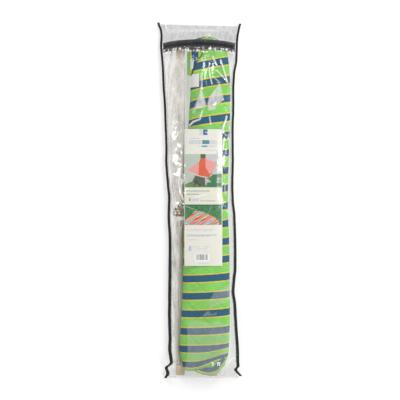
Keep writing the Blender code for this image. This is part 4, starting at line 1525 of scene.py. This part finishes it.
@dataclass
class InsertCard:
    """The printed card bent over the roll, with plain bars for text and two garden pictures."""

    span_x: tuple[float, float] = (-0.0654, 0.0936)
    span_y: tuple[float, float] = (-0.2755, 0.2965)
    thickness: float = 0.0008
    arch: tuple[float, float, float, float] = (0.008, 0.126, 0.036, 0.0875)
    curve: float = 2.3
    cells: tuple[int, int] = (150, 560)
    paper: Colour = (0.82, 0.8, 0.715)
    navy: Colour = (0.015, 0.1, 0.26)
    grey: Colour = (0.36, 0.4, 0.42)
    pale: Colour = (0.62, 0.65, 0.72)
    leaf: Colour = (0.02, 0.17, 0.05)
    fan: Sequence[tuple[float, Colour]] = (
        (7.5, (0.9, 0.3, 0.05)),
        (3.5, (0.85, 0.45, 0.38)),
        (5.5, (0.01, 0.45, 0.7)),
        (3.0, (0.85, 0.7, 0.5)),
        (3.5, (0.2, 0.1, 0.28)),
        (3.5, (0.75, 0.85, 0.12)),
        (8.0, (0.75, 0.01, 0.1)),
        (3.0, (0.85, 0.78, 0.05)),
        (5.0, (0.55, 0.01, 0.42)),
        (3.5, (0.05, 0.55, 0.45)),
        (4.0, (0.9, 0.35, 0.05)),
        (3.0, (0.75, 0.85, 0.12)),
        (6.0, (0.75, 0.01, 0.14)),
        (3.0, (0.03, 0.4, 0.6)),
        (4.0, (0.85, 0.45, 0.1)),
        (4.0, (0.45, 0.02, 0.35)),
    )

    def height(self, x: float) -> float:
        """Height of the card's upper face at X."""
        centre, half, base, rise = self.arch
        share = abs(x - centre) / half
        return base + rise * (1 - share ** self.curve) ** (1 / self.curve)

    def head_and_pictures(self) -> list[Ink]:
        """The printed shapes of the card's head and its two pictures, from the bottom layer up."""
        navy, grey, pale, leaf = self.navy, self.grey, self.pale, self.leaf
        sky, mist = (0.5, 0.56, 0.5), (0.56, 0.56, 0.55)
        coral, red = (0.8, 0.34, 0.3), (0.78, 0.115, 0.035)
        items = [
            block(62.5, 78.5, 2.0, 25.5, pale, 0.12),
            block(79.5, 97.5, 2.0, 25.5, navy, 0.1),
            Ink(((86, 9), (97.5, 14), (97.5, 19), (88, 15)), (0.6, 0.7, 0.8)),
            block(22, 66, 37.5, 41.5, pale, 0.2),
            *(block(22 + 5.8 * k, 24.2 + 5.8 * k, 46.5, 63.5, (0.3, 0.42, 0.54))
              for k in range(20)),
            block(22, 138, 47, 49, pale),
            block(22, 138, 61.5, 63.5, pale),
            block(75, 103, 46, 63, (0.06, 0.25, 0.3), 0.25),
            block(60, 136, 69, 75.5, pale, 0.2),
            block(74, 96, 69, 75.5, (0.08, 0.3, 0.36), 0.2),
            block(92, 131, 86, 90, pale, 0.25),
            block(2, 156.5, 104.6, 243.4, sky, 0.1),
            block(88, 156.5, 104.6, 143, mist, 0.16),
            Ink(((2.0, 232), (34.9, 216), (45.5, 194), (85.5, 203.4), (156.5, 186), (156.5, 243.4),
                 (2.0, 243.4)), (0.1, 0.22, 0.05), 0.45),
            Ink(((117, 190), (156.5, 188), (156.5, 243.4), (94, 243.4), (104, 214)), leaf, 0.55),
            Ink(((2.9, 219), (45.5, 193), (36, 219), (8.2, 226)), (0.5, 0.52, 0.47), 0.15),
            Ink(((45.5, 194), (85.5, 203.4), (85.5, 239), (62, 236), (33, 220)),
                (0.07, 0.09, 0.055), 0.4),
            Ink(((40, 243), (46, 214), (50, 214), (72, 240), (66, 240), (48, 222), (44, 243)),
                (0.03, 0.035, 0.03), 0.2),
            Ink(((85.5, 198), (113, 222), (96, 222), (88.2, 237)), (0.5, 0.53, 0.53), 0.12),
            block(66.9, 88.2, 104.8, 124, (0.045, 0.12, 0.035), 0.35),
            Ink(((8.2, 172.7), (61.5, 138), (58.9, 195.4)), coral, 0.08),
            Ink(((88.2, 124.7), (137.5, 140.7), (116.2, 183.4), (96.2, 172.7), (88.2, 159.4)),
                coral, 0.08),
            Ink(((68.2, 122), (88.2, 122), (88.2, 159.4), (96.2, 172.7), (117.5, 183.4),
                 (101.5, 202), (58.9, 195.4), (61.5, 138)), red, 0.06, 5.2),
            Ink(((99, 176), (112, 180), (106, 188)), (0.85, 0.45, 0.4)),
            Ink(((6.0, 173), (8.2, 172.0), (60, 194), (101, 202), (100, 204), (58, 196.5)),
                (0.72, 0.7, 0.62)),
            block(2, 156.5, 243.4, 315.3, (0.8, 0.79, 0.66), 0.03),
            block(8, 106, 256.5, 260.5, grey, 0.35),
            block(8, 62, 270.5, 274, grey, 0.35),
            Ink(((40, 281), (92, 271), (92, 277), (56, 285)), (0.92, 0.9, 0.84)),
            block(20, 26, 289, 300.5, (0.1, 0.42, 0.03), 0.2),
            block(18.5, 27.5, 291.5, 298, (0.12, 0.45, 0.04), 0.2),
            block(32, 60, 290, 302, pale, 0.25),
            block(66, 130, 298.5, 302, grey, 0.35),
            block(2, 156.5, 315.3, 401.0, (0.03, 0.2, 0.055), 0.65),
            block(2, 156.5, 315.3, 320.5, (0.01, 0.1, 0.03), 0.4),
        ]
        spots = ((8, 330, 9, 6), (24, 345, 7, 5), (46, 326, 10, 5), (70, 332, 9, 6),
                 (96, 336, 8, 5), (120, 330, 11, 7), (140, 344, 9, 6), (132, 360, 8, 5), (14, 362, 8, 6))
        for left, top, wide, tall in spots:
            items.append(Ink(((left, top + tall), (left + wide * 0.4, top),
                              (left + wide, top + tall * 0.3), (left + wide * 0.7, top + tall)),
                             (0.006, 0.02, 0.008), 0.3))
        ropes = (((6, 322), (42, 336)), ((20, 374), (50, 335)), ((94, 362), (116, 318)),
                 ((60, 344), (128, 372)))
        for (ax, ay), (bx, by) in ropes:
            items.append(Ink(((ax, ay - 1.1), (bx, by - 1.1), (bx, by + 1.1), (ax, ay + 1.1)),
                             (0.45, 0.55, 0.48), 0.2))
        return items

    def foot(self) -> list[Ink]:
        """The printed shapes of the card's plain foot: bars for text, and bars for the bar code."""
        grey, pale = self.grey, self.pale
        bars = ((10, 132, 417.5, pale), (10, 120, 423.5, pale), (10, 134, 441.5, grey),
                (10, 110, 448.0, pale), (10, 60, 461.5, pale), (34, 112, 491, pale),
                (34, 96, 499, pale))
        rows = [block(2, 156.5, 401.0, 570, self.paper, 0.02)]
        rows += [block(left, right, top, top + 3, tone, 0.3) for left, right, top, tone in bars]
        rows += [block(17, 29, 489, 510, (0.55, 0.5, 0.66), 0.2),
                 block(44, 107, 520, 553, (0.9, 0.9, 0.89)),
                 block(60, 100, 559.5, 562, pale, 0.3)]
        widths = (1.2, 2.4, 1.2, 1.2, 3.0, 1.2, 2.4, 1.2)
        across, step = 50.0, 0
        while across < 98:
            wide = widths[step % len(widths)]
            rows.append(block(across, across + wide, 523, 547, (0.1, 0.11, 0.12)))
            across += wide + widths[(step + 3) % len(widths)]
            step += 1
        return rows

    def fan_colour(self, x: float, y: float) -> Colour | None:
        """The colour of the striped hammock in the lower picture, or None beside it."""
        edge = ((2, 383), (48.2, 341), (78, 346), (114.8, 362), (141.5, 380), (150, 401), (2, 401))
        if not inside(edge, x, y):
            return None
        across = ((x - 2) * 0.6 + (y - 383) * 0.8)
        across = across * 1.3 + 2.4 * math.sin(x * 0.21 + y * 0.13)
        total = sum(width for width, _ in self.fan)
        across %= total
        for width, colour in self.fan:
            if across < width:
                return colour
            across -= width
        return self.fan[-1][1]

    def colour_at(self, x: float, y: float, inks: Sequence[tuple[Ink, tuple]]) -> Colour:
        """The printed colour at a place in millimetres from the card's top left corner."""
        colour = self.paper
        spot = Vector((x * 0.55, y * 0.55, 0.5))
        for ink, (left, right, top, foot) in inks:
            if left <= x <= right and top <= y <= foot and inside(ink.outline, x, y):
                colour = ink.colour
                if ink.stripe and ((x - y) / ink.stripe) % 1.0 < 0.35:
                    colour = tuple(c * 0.72 for c in colour)
                if ink.grain:
                    grain = 1 + ink.grain * 2.2 * noise.fractal(spot, 0.8, 2.1, 3)
                    colour = tuple(max(c * grain, 0.0) for c in colour)
        if 341 <= y <= 401:
            colour = self.fan_colour(x, y) or colour
        return colour

    def build(self) -> None:
        """Build the card as a fine grid whose ink is stored on its points."""
        wide, tall = self.span_x[1] - self.span_x[0], self.span_y[1] - self.span_y[0]

        def place(u: float, v: float) -> Vector:
            x = mix(self.span_x[0], self.span_x[1], u)
            y = mix(self.span_y[0], self.span_y[1], v)
            curl = 0.0003 * rough(x * 14, y * 9, 2.0)
            return Vector((x, y, self.height(x) - 0.0003 + curl))

        form = cloth_grid(*self.cells, place, (wide, tall))
        inks = [(ink, ink.box()) for ink in self.head_and_pictures() + self.foot()]
        layer = form.verts.layers.float_color.new("ink")
        for vertex in form.verts:
            x = (vertex.co.x - self.span_x[0]) * 1000
            y = (self.span_y[1] - vertex.co.y) * 1000
            vertex[layer] = (*self.colour_at(x, y, inks), 1.0)
        bmesh.ops.recalc_face_normals(form, faces=form.faces)
        fit("printed_insert_card", form, PrintedCard().make(), Slot.CARD, "insert_card",
            body=Body.CARD)


# ---- bars, rings and ropes -----------------------------------------------------------------------


@dataclass
class SpreaderBar:
    """A wooden bar with rounded edges."""

    name: str
    node: str
    centre: tuple[float, float]
    span: tuple[float, float]
    section: tuple[float, float] = (0.038, 0.02)
    rounding: float = 0.005

    def build(self, finish: Material) -> None:
        """Build the bar."""
        form = bmesh.new()
        bmesh.ops.create_cube(form, size=1.0)
        bmesh.ops.scale(form, verts=form.verts,
                        vec=(self.section[0], self.span[1] - self.span[0], self.section[1]))
        round_edges(form, self.rounding, 5)
        middle = sum(self.span) / 2
        bmesh.ops.translate(form, verts=form.verts, vec=(self.centre[0], middle, self.centre[1]))
        fit(self.name, form, finish, Slot.WOOD, self.node)


@dataclass
class Harness:
    """Both half-round rings, the eight ropes of the outer one and the bundles of the inner one."""

    corner: Vector = field(default_factory=lambda: Vector((-0.112, -0.064, 0.054)))
    tilt: float = math.radians(38)
    ring_radius: float = 0.04
    rod: float = 0.0035
    rope: float = 0.0023
    bar_top: float = 0.0225
    reach: float = 0.6
    upper_holes: tuple[float, ...] = (0.12, 0.26, 0.4, 0.54)
    lower_holes: tuple[float, ...] = (-0.14, -0.27, -0.4, -0.53)
    lanes: tuple[float, float] = (-0.097, -0.0925)
    first_fold: float = 0.0096
    fold_step: float = 0.005
    lengths: tuple[tuple[float, ...], tuple[float, ...]] = (
        (0.656, 0.692, 0.756, 0.847), (0.653, 0.696, 0.761, 0.842))
    lay: float = 0.015
    hank_rope: float = 0.0022
    hank_lay: float = 0.0145
    hank_z: float = 0.0352
    leg_z: float = 0.0325
    loop_half: float = 0.0026
    loop_step: float = 0.0042
    hitch_rope: float = 0.0019
    hitch_half: float = 0.0026
    knot_radius: float = 0.0042
    knot_rope: float = 0.002
    end_gap: float = 0.0008
    pull_off: float = 0.014
    core: tuple[float, float] = (0.054, 0.0575)
    core_ropes: int = 6
    lean: Vector = field(default_factory=lambda: Vector((0.3, 0.1, 1)))

    def __post_init__(self) -> None:
        """Set out the outer ring's own directions and the finishes."""
        self.along = Vector((math.cos(self.tilt), 0, math.sin(self.tilt)))
        self.out = self.along.cross(ALONG_BAG)
        self.finish = TwistedRope().make()
        self.steel = BareMetal("galvanised_steel", (0.17, 0.17, 0.175), 0.20).make()

    def build_ring(self, name: str, node: str, corner: Vector, along: Vector,
                   across: Vector) -> None:
        """One half-round ring: a straight side and an arc."""
        radius = self.ring_radius
        line = [corner + along * radius * 2 * k / 24 for k in range(1, 24)]
        for i in range(49):
            turn = math.pi * i / 48
            line.append(corner + along * radius * (1 + math.cos(turn))
                        + across * radius * math.sin(turn))
        form = ring_tube(line, 16, self.rod, along.cross(across), closed=True)
        fit(name, form, self.steel, Slot.STEEL, node)

    def ring_point(self, run: float, rise: float = 0.0) -> Vector:
        """A point in the outer ring's plane."""
        return self.corner + self.along * run + ALONG_BAG * rise

    def arc_grip(self, degrees: float) -> tuple[Vector, Vector]:
        """A point on the outer ring's arc, and the way straight out of the ring there."""
        turn = math.radians(degrees)
        away = self.along * math.cos(turn) + ALONG_BAG * math.sin(turn)
        return self.ring_point(self.ring_radius) + away * self.ring_radius, away

    def grip(self, index: int, upper: bool) -> tuple[Vector, Vector, Vector]:
        """Where a rope grips the ring, the way it leaves, and the way the rod runs there."""
        rank = 3 - index
        if not upper:
            return self.ring_point(0.012 + 0.016 * rank), -ALONG_BAG, self.along
        grip, away = self.arc_grip(150 - 30 * rank)
        return grip, away, away.cross(self.out).normalized()

    def last_steps(self, grip: Vector, away: Vector) -> tuple[Vector, Vector]:
        """The last two points of a rope that runs straight onto the ring's rod."""
        return grip + away * self.pull_off, grip + away * (self.rod + self.end_gap)

    def route(self, index: int, upper: bool) -> list[Vector]:
        """One rope's route: from its hole in the bar, along it, back in one fold, to the ring."""
        sign = 1 if upper else -1
        hole = (self.upper_holes if upper else self.lower_holes)[index]
        middle = self.lanes[0 if upper else 1]
        radius = self.first_fold + self.fold_step * index
        grip, away, _ = self.grip(index, upper)
        lane_z = self.bar_top + 0.0003 + self.rope
        fold = (math.hypot(self.reach, hole) + abs(hole) + sign * grip.y) / 2 - radius
        rise = ((0, 0.0003), (0, 0.0025), (0.0015, 0.0048), (0.006, 0.0062), (0.016, 0.0052),
                (0.03, 0.0026))
        route = [Vector((middle + radius, hole + sign * step, self.bar_top + z))
                 for step, z in rise]
        for i in range(9):
            turn = math.pi * i / 8
            y = fold + radius * math.sin(turn)
            route.append(Vector((middle + radius * math.cos(turn), sign * y, lane_z)))
        fan = 0.06 + 0.016 * (3 - index)
        lane_end = Vector((middle - radius, grip.y + sign * fan, lane_z))
        straight, end = self.last_steps(grip, away)
        route += [Vector((middle - radius, grip.y + sign * (fan + 0.025), lane_z)), lane_end]
        route += [lane_end.lerp(straight, share) for share in (0.2, 0.5, 0.8)]
        return route + [straight, end]

    @staticmethod
    def strand(radius: float, lay: float, twist: float = 0.0) -> Girth:
        """The radius of a three-strand rope round its turn and along its run."""
        def reach(turn: float, run: float) -> float:
            lobe = math.cos(3 * (turn - 2 * math.pi * run / lay - twist))
            return radius * (0.88 + 0.12 * lobe)
        return reach

    def build_rope(self, index: int, upper: bool) -> None:
        """One of the outer ring's ropes, with the hitch that holds it and its knot at the bar."""
        name = f"{'upper' if upper else 'lower'}_{index + 1}"
        points = curve_points(self.route(index, upper), 0.0021)
        LOG.info("rope %s follows %.3f m", name, running_lengths(points)[-1])
        form = ring_tube(points, 12, self.strand(self.rope, self.lay, index), self.lean)
        rope = fit("rope_" + name, form, self.finish, Slot.ROPE, "harness_cord_" + name)
        extras = bmesh.new()
        grip, away, rod_line = self.grip(index, upper)
        square = rod_line.cross(away).normalized()
        wrap = []
        for k in range(37):
            turn = (3 * math.pi if upper else 1.1 * math.pi) * k / 36
            wrap.append(grip + rod_line * mix(-self.hitch_half, self.hitch_half, k / 36)
                        + (away * math.cos(turn) + square * math.sin(turn))
                        * (self.rod + self.hitch_rope))
        join(extras, ring_tube(wrap, 8, self.strand(self.hitch_rope, 0.012), rod_line))
        knot = []
        for k in range(20):
            turn = 2 * math.pi * k / 20
            knot.append(points[0] + Vector((self.knot_radius * math.cos(turn),
                                            self.knot_radius * math.sin(turn), 0.0018)))
        join(extras, ring_tube(knot, 8, self.knot_rope, UP, closed=True))
        hitch = fit("hitch_" + name, extras, self.finish, Slot.ROPE)

    def build_collar(self) -> None:
        """The whipping that gathers the lower ropes just below the ring's straight side."""
        middle = self.ring_point(0.036, -0.0145)
        steps, wide, tall, half = 6 * 40, 0.0325, 0.0052, 0.0075
        line = []
        for k in range(steps + 1):
            turn = 2 * math.pi * k / 40
            offset = self.along * wide * math.cos(turn) + self.out * tall * math.sin(turn)
            line.append(middle + offset + ALONG_BAG * mix(half, -half, k / steps))
        fit("rope_whipping", ring_tube(line, 8, 0.0013, ALONG_BAG), self.finish, Slot.ROPE)

    def build_bundle(self, name: str, node: str, span: tuple[float, float]) -> None:
        """The inner ring's ropes, laid side by side down the core of the roll."""
        form = bmesh.new()
        for k in range(self.core_ropes):
            x = self.core[0] - 0.0125 + 0.005 * k
            z = self.core[1] + (0.0016 if k % 2 else -0.0014)
            line = []
            for i in range(121):
                y = mix(span[0], span[1], i / 120)
                line.append(Vector((x + 0.0006 * math.sin(y * 55 + k), y, z)))
            join(form, ring_tube(line, 8, self.strand(self.rope, self.lay, k), UP))
        fit(name, form, self.finish, Slot.ROPE, node)

    def hank_loop(self, k: int, span: tuple[float, float], middle: float) -> list[Vector]:
        """One of a hank's nested loops: two long legs and their two round ends."""
        half = self.loop_half + self.loop_step * k
        inset = 0.008 + 0.011 * ((k * 2) % 3)
        line = []
        for leg in (1, -1):
            for i in range(100):
                y = mix(span[0] + inset, span[1] - inset, i / 99 if leg > 0 else 1 - i / 99)
                sway = 0.0011 * rough(y * 16, k * 3.1 + leg, 0.4)
                lift = 0.0012 * rough(y * 11, k * 5.3 + leg, 2.4)
                line.append(Vector((middle + leg * half + sway, y, self.hank_z + lift)))
            end = line[-1].y
            for i in range(1, 12):
                turn = math.pi * i / 12
                line.append(Vector((middle + leg * half * math.cos(turn),
                                    end + leg * half * math.sin(turn) * 0.8, self.hank_z)))
        return line

    def build_hank(self, name: str, node: str, span: tuple[float, float], middle: float,
                   loops: int) -> None:
        """Further cords of the harness in a flat hank on the bar, with legs to the ring.

        Args:
            name: The piece's name.
            node: The CAD node it stands for.
            span: Y of its two ends.
            middle: X of its middle.
            loops: How many nested loops it has.
        """
        form = bmesh.new()
        for k in range(loops):
            rope = self.strand(self.hank_rope, self.hank_lay, k)
            join(form, ring_tube(self.hank_loop(k, span, middle), 10, rope, UP, closed=True))
        for k, leg in enumerate(self.legs(span, middle)):
            rope = self.strand(self.hank_rope, self.hank_lay, k)
            join(form, ring_tube(leg, 10, rope, self.lean))
        fit(name, form, self.finish, Slot.ROPE, node)

    def legs(self, span: tuple[float, float], middle: float) -> list[list[Vector]]:
        """The lines of a hank's short legs, from its near end to the ring between the ropes."""
        upper = span[0] > 0
        sign = 1 if upper else -1
        near = span[0 if upper else 1] + sign * 0.03
        count = 5 if upper else 3
        lines = []
        for k in range(count):
            if upper:
                grip, away = self.arc_grip(165 - 30 * k)
            else:
                grip, away = self.ring_point(0.02 + 0.016 * k), -ALONG_BAG
            x = middle + 0.0085 * (k - (count - 1) / 2)
            start = Vector((x, near, self.leg_z))
            bend = Vector((x, near - sign * 0.035, self.leg_z))
            straight, end = self.last_steps(grip, away)
            route = [start, bend, bend.lerp(straight, 0.35), bend.lerp(straight, 0.7), straight,
                     end]
            lines.append(curve_points(route, 0.0025))
        return lines

    def build(self) -> None:
        """Build the rings, the ropes and the bundles."""
        self.build_hank("rope_hank_upper", "outer_hank_upper", (0.088, 0.586), -0.0880, 5)
        self.build_hank("rope_hank_lower", "outer_hank_lower", (-0.705, -0.184), -0.0920, 4)
        self.build_ring("steel_ring_outer", "harness_ring_outer", self.corner, self.along,
                        ALONG_BAG)
        inner = Vector((0.036, -0.04, self.core[1]))
        self.build_ring("steel_ring_inner", "harness_ring_inner", inner, ALONG_BAG, ACROSS_BAG)
        for upper in (True, False):
            for index in range(4):
                self.build_rope(index, upper)
        self.build_collar()
        self.build_bundle("inner_ropes_upper", "inner_cords_upper", (0.560, 0.050))
        self.build_bundle("inner_ropes_lower", "inner_cords_lower", (-0.050, -0.600))


# ---- the studio ----------------------------------------------------------------------------------


@dataclass
class Studio:
    """A pale floor, soft lamps and the camera straight above the pack."""

    height: float = 4.3
    lens: float = 90.0
    floor_size: float = 9.0
    floor_drop: float = 0.0008
    floor_white: float = 0.6
    floor_glow: float = 0.75
    sky: float = 0.45
    aim: tuple[float, float, float] = (0, 0, 0.1)
    lamps: Sequence[tuple[str, tuple[float, float, float], tuple[float, float], float]] = (
        ("softbox_over", (0.90, 1.90, 3.2), (0.6, 0.7), 40),
        ("softbox_foot", (1.40, -2.40, 2.5), (0.9, 0.8), 27),
        ("strip_right", (2.6, 0.3, 1.15), (0.15, 2.6), 27),
        ("strip_left", (-2.6, 0.2, 1.15), (0.15, 2.6), 27),
        ("strip_top", (0.3, 2.6, 2.4), (2.2, 0.15), 14),
    )

    def build_camera(self) -> None:
        """The camera, straight down with the zip end at the top of the picture."""
        data = bpy.data.cameras.new("camera")
        data.lens = self.lens
        data.sensor_width = 36.0
        camera = bpy.data.objects.new("camera", data)
        camera.location = (0.0, 0.0, self.height)
        bpy.context.scene.collection.objects.link(camera)
        bpy.context.scene.camera = camera

    def build_floor(self) -> None:
        """The floor, a pale sheet just under the pack."""
        form = bmesh.new()
        bmesh.ops.create_grid(form, x_segments=1, y_segments=1, size=self.floor_size / 2)
        bmesh.ops.translate(form, verts=form.verts, vec=(0, 0, -self.floor_drop))
        paper = Plain("floor_paper", (self.floor_white,) * 3, 0.9, glow=self.floor_glow).make()
        finish_mesh("studio_floor", form, paper)

    def build_lamps(self) -> None:
        """Even light from all round, with long strips that draw highlights on the film."""
        world = bpy.data.worlds.new("studio")
        world.use_nodes = True
        sky = world.node_tree.nodes["Background"]
        sky.inputs["Color"].default_value = (1, 1, 1, 1)
        sky.inputs["Strength"].default_value = self.sky
        bpy.context.scene.world = world
        aim = Vector(self.aim)
        for name, place, size, power in self.lamps:
            data = bpy.data.lights.new(name, "AREA")
            data.shape = "RECTANGLE"
            data.size, data.size_y = size
            data.energy = power
            lamp = bpy.data.objects.new(name, data)
            lamp.location = place
            lamp.rotation_euler = (aim - lamp.location).to_track_quat("-Z", "Y").to_euler()
            bpy.context.scene.collection.objects.link(lamp)

    def build(self) -> None:
        """Build the camera, the floor and the lamps."""
        self.build_camera()
        self.build_floor()
        self.build_lamps()
        bpy.context.scene.view_settings.view_transform = "Standard"


def main() -> None:
    """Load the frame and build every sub-assembly."""
    logging.basicConfig(level=logging.INFO, format="%(message)s")
    for item in list(bpy.data.objects):
        bpy.data.objects.remove(item, do_unlink=True)
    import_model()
    Studio().build()
    shape, arc = PackShape(), ZipArc()
    Harness().build()
    RolledBed().build()
    wood = BarWood().make()
    SpreaderBar("outer_bar", "spreader_bar_outer", (-0.084, 0.0125), (-0.750, 0.645)).build(wood)
    SpreaderBar("inner_bar", "spreader_bar_inner", (0.054, 0.040), (-0.7495, 0.640)).build(wood)
    InsertCard().build()
    ClearBag(shape, arc).build()
    FrontZip(arc).build()


if __name__ == "__main__":
    main()
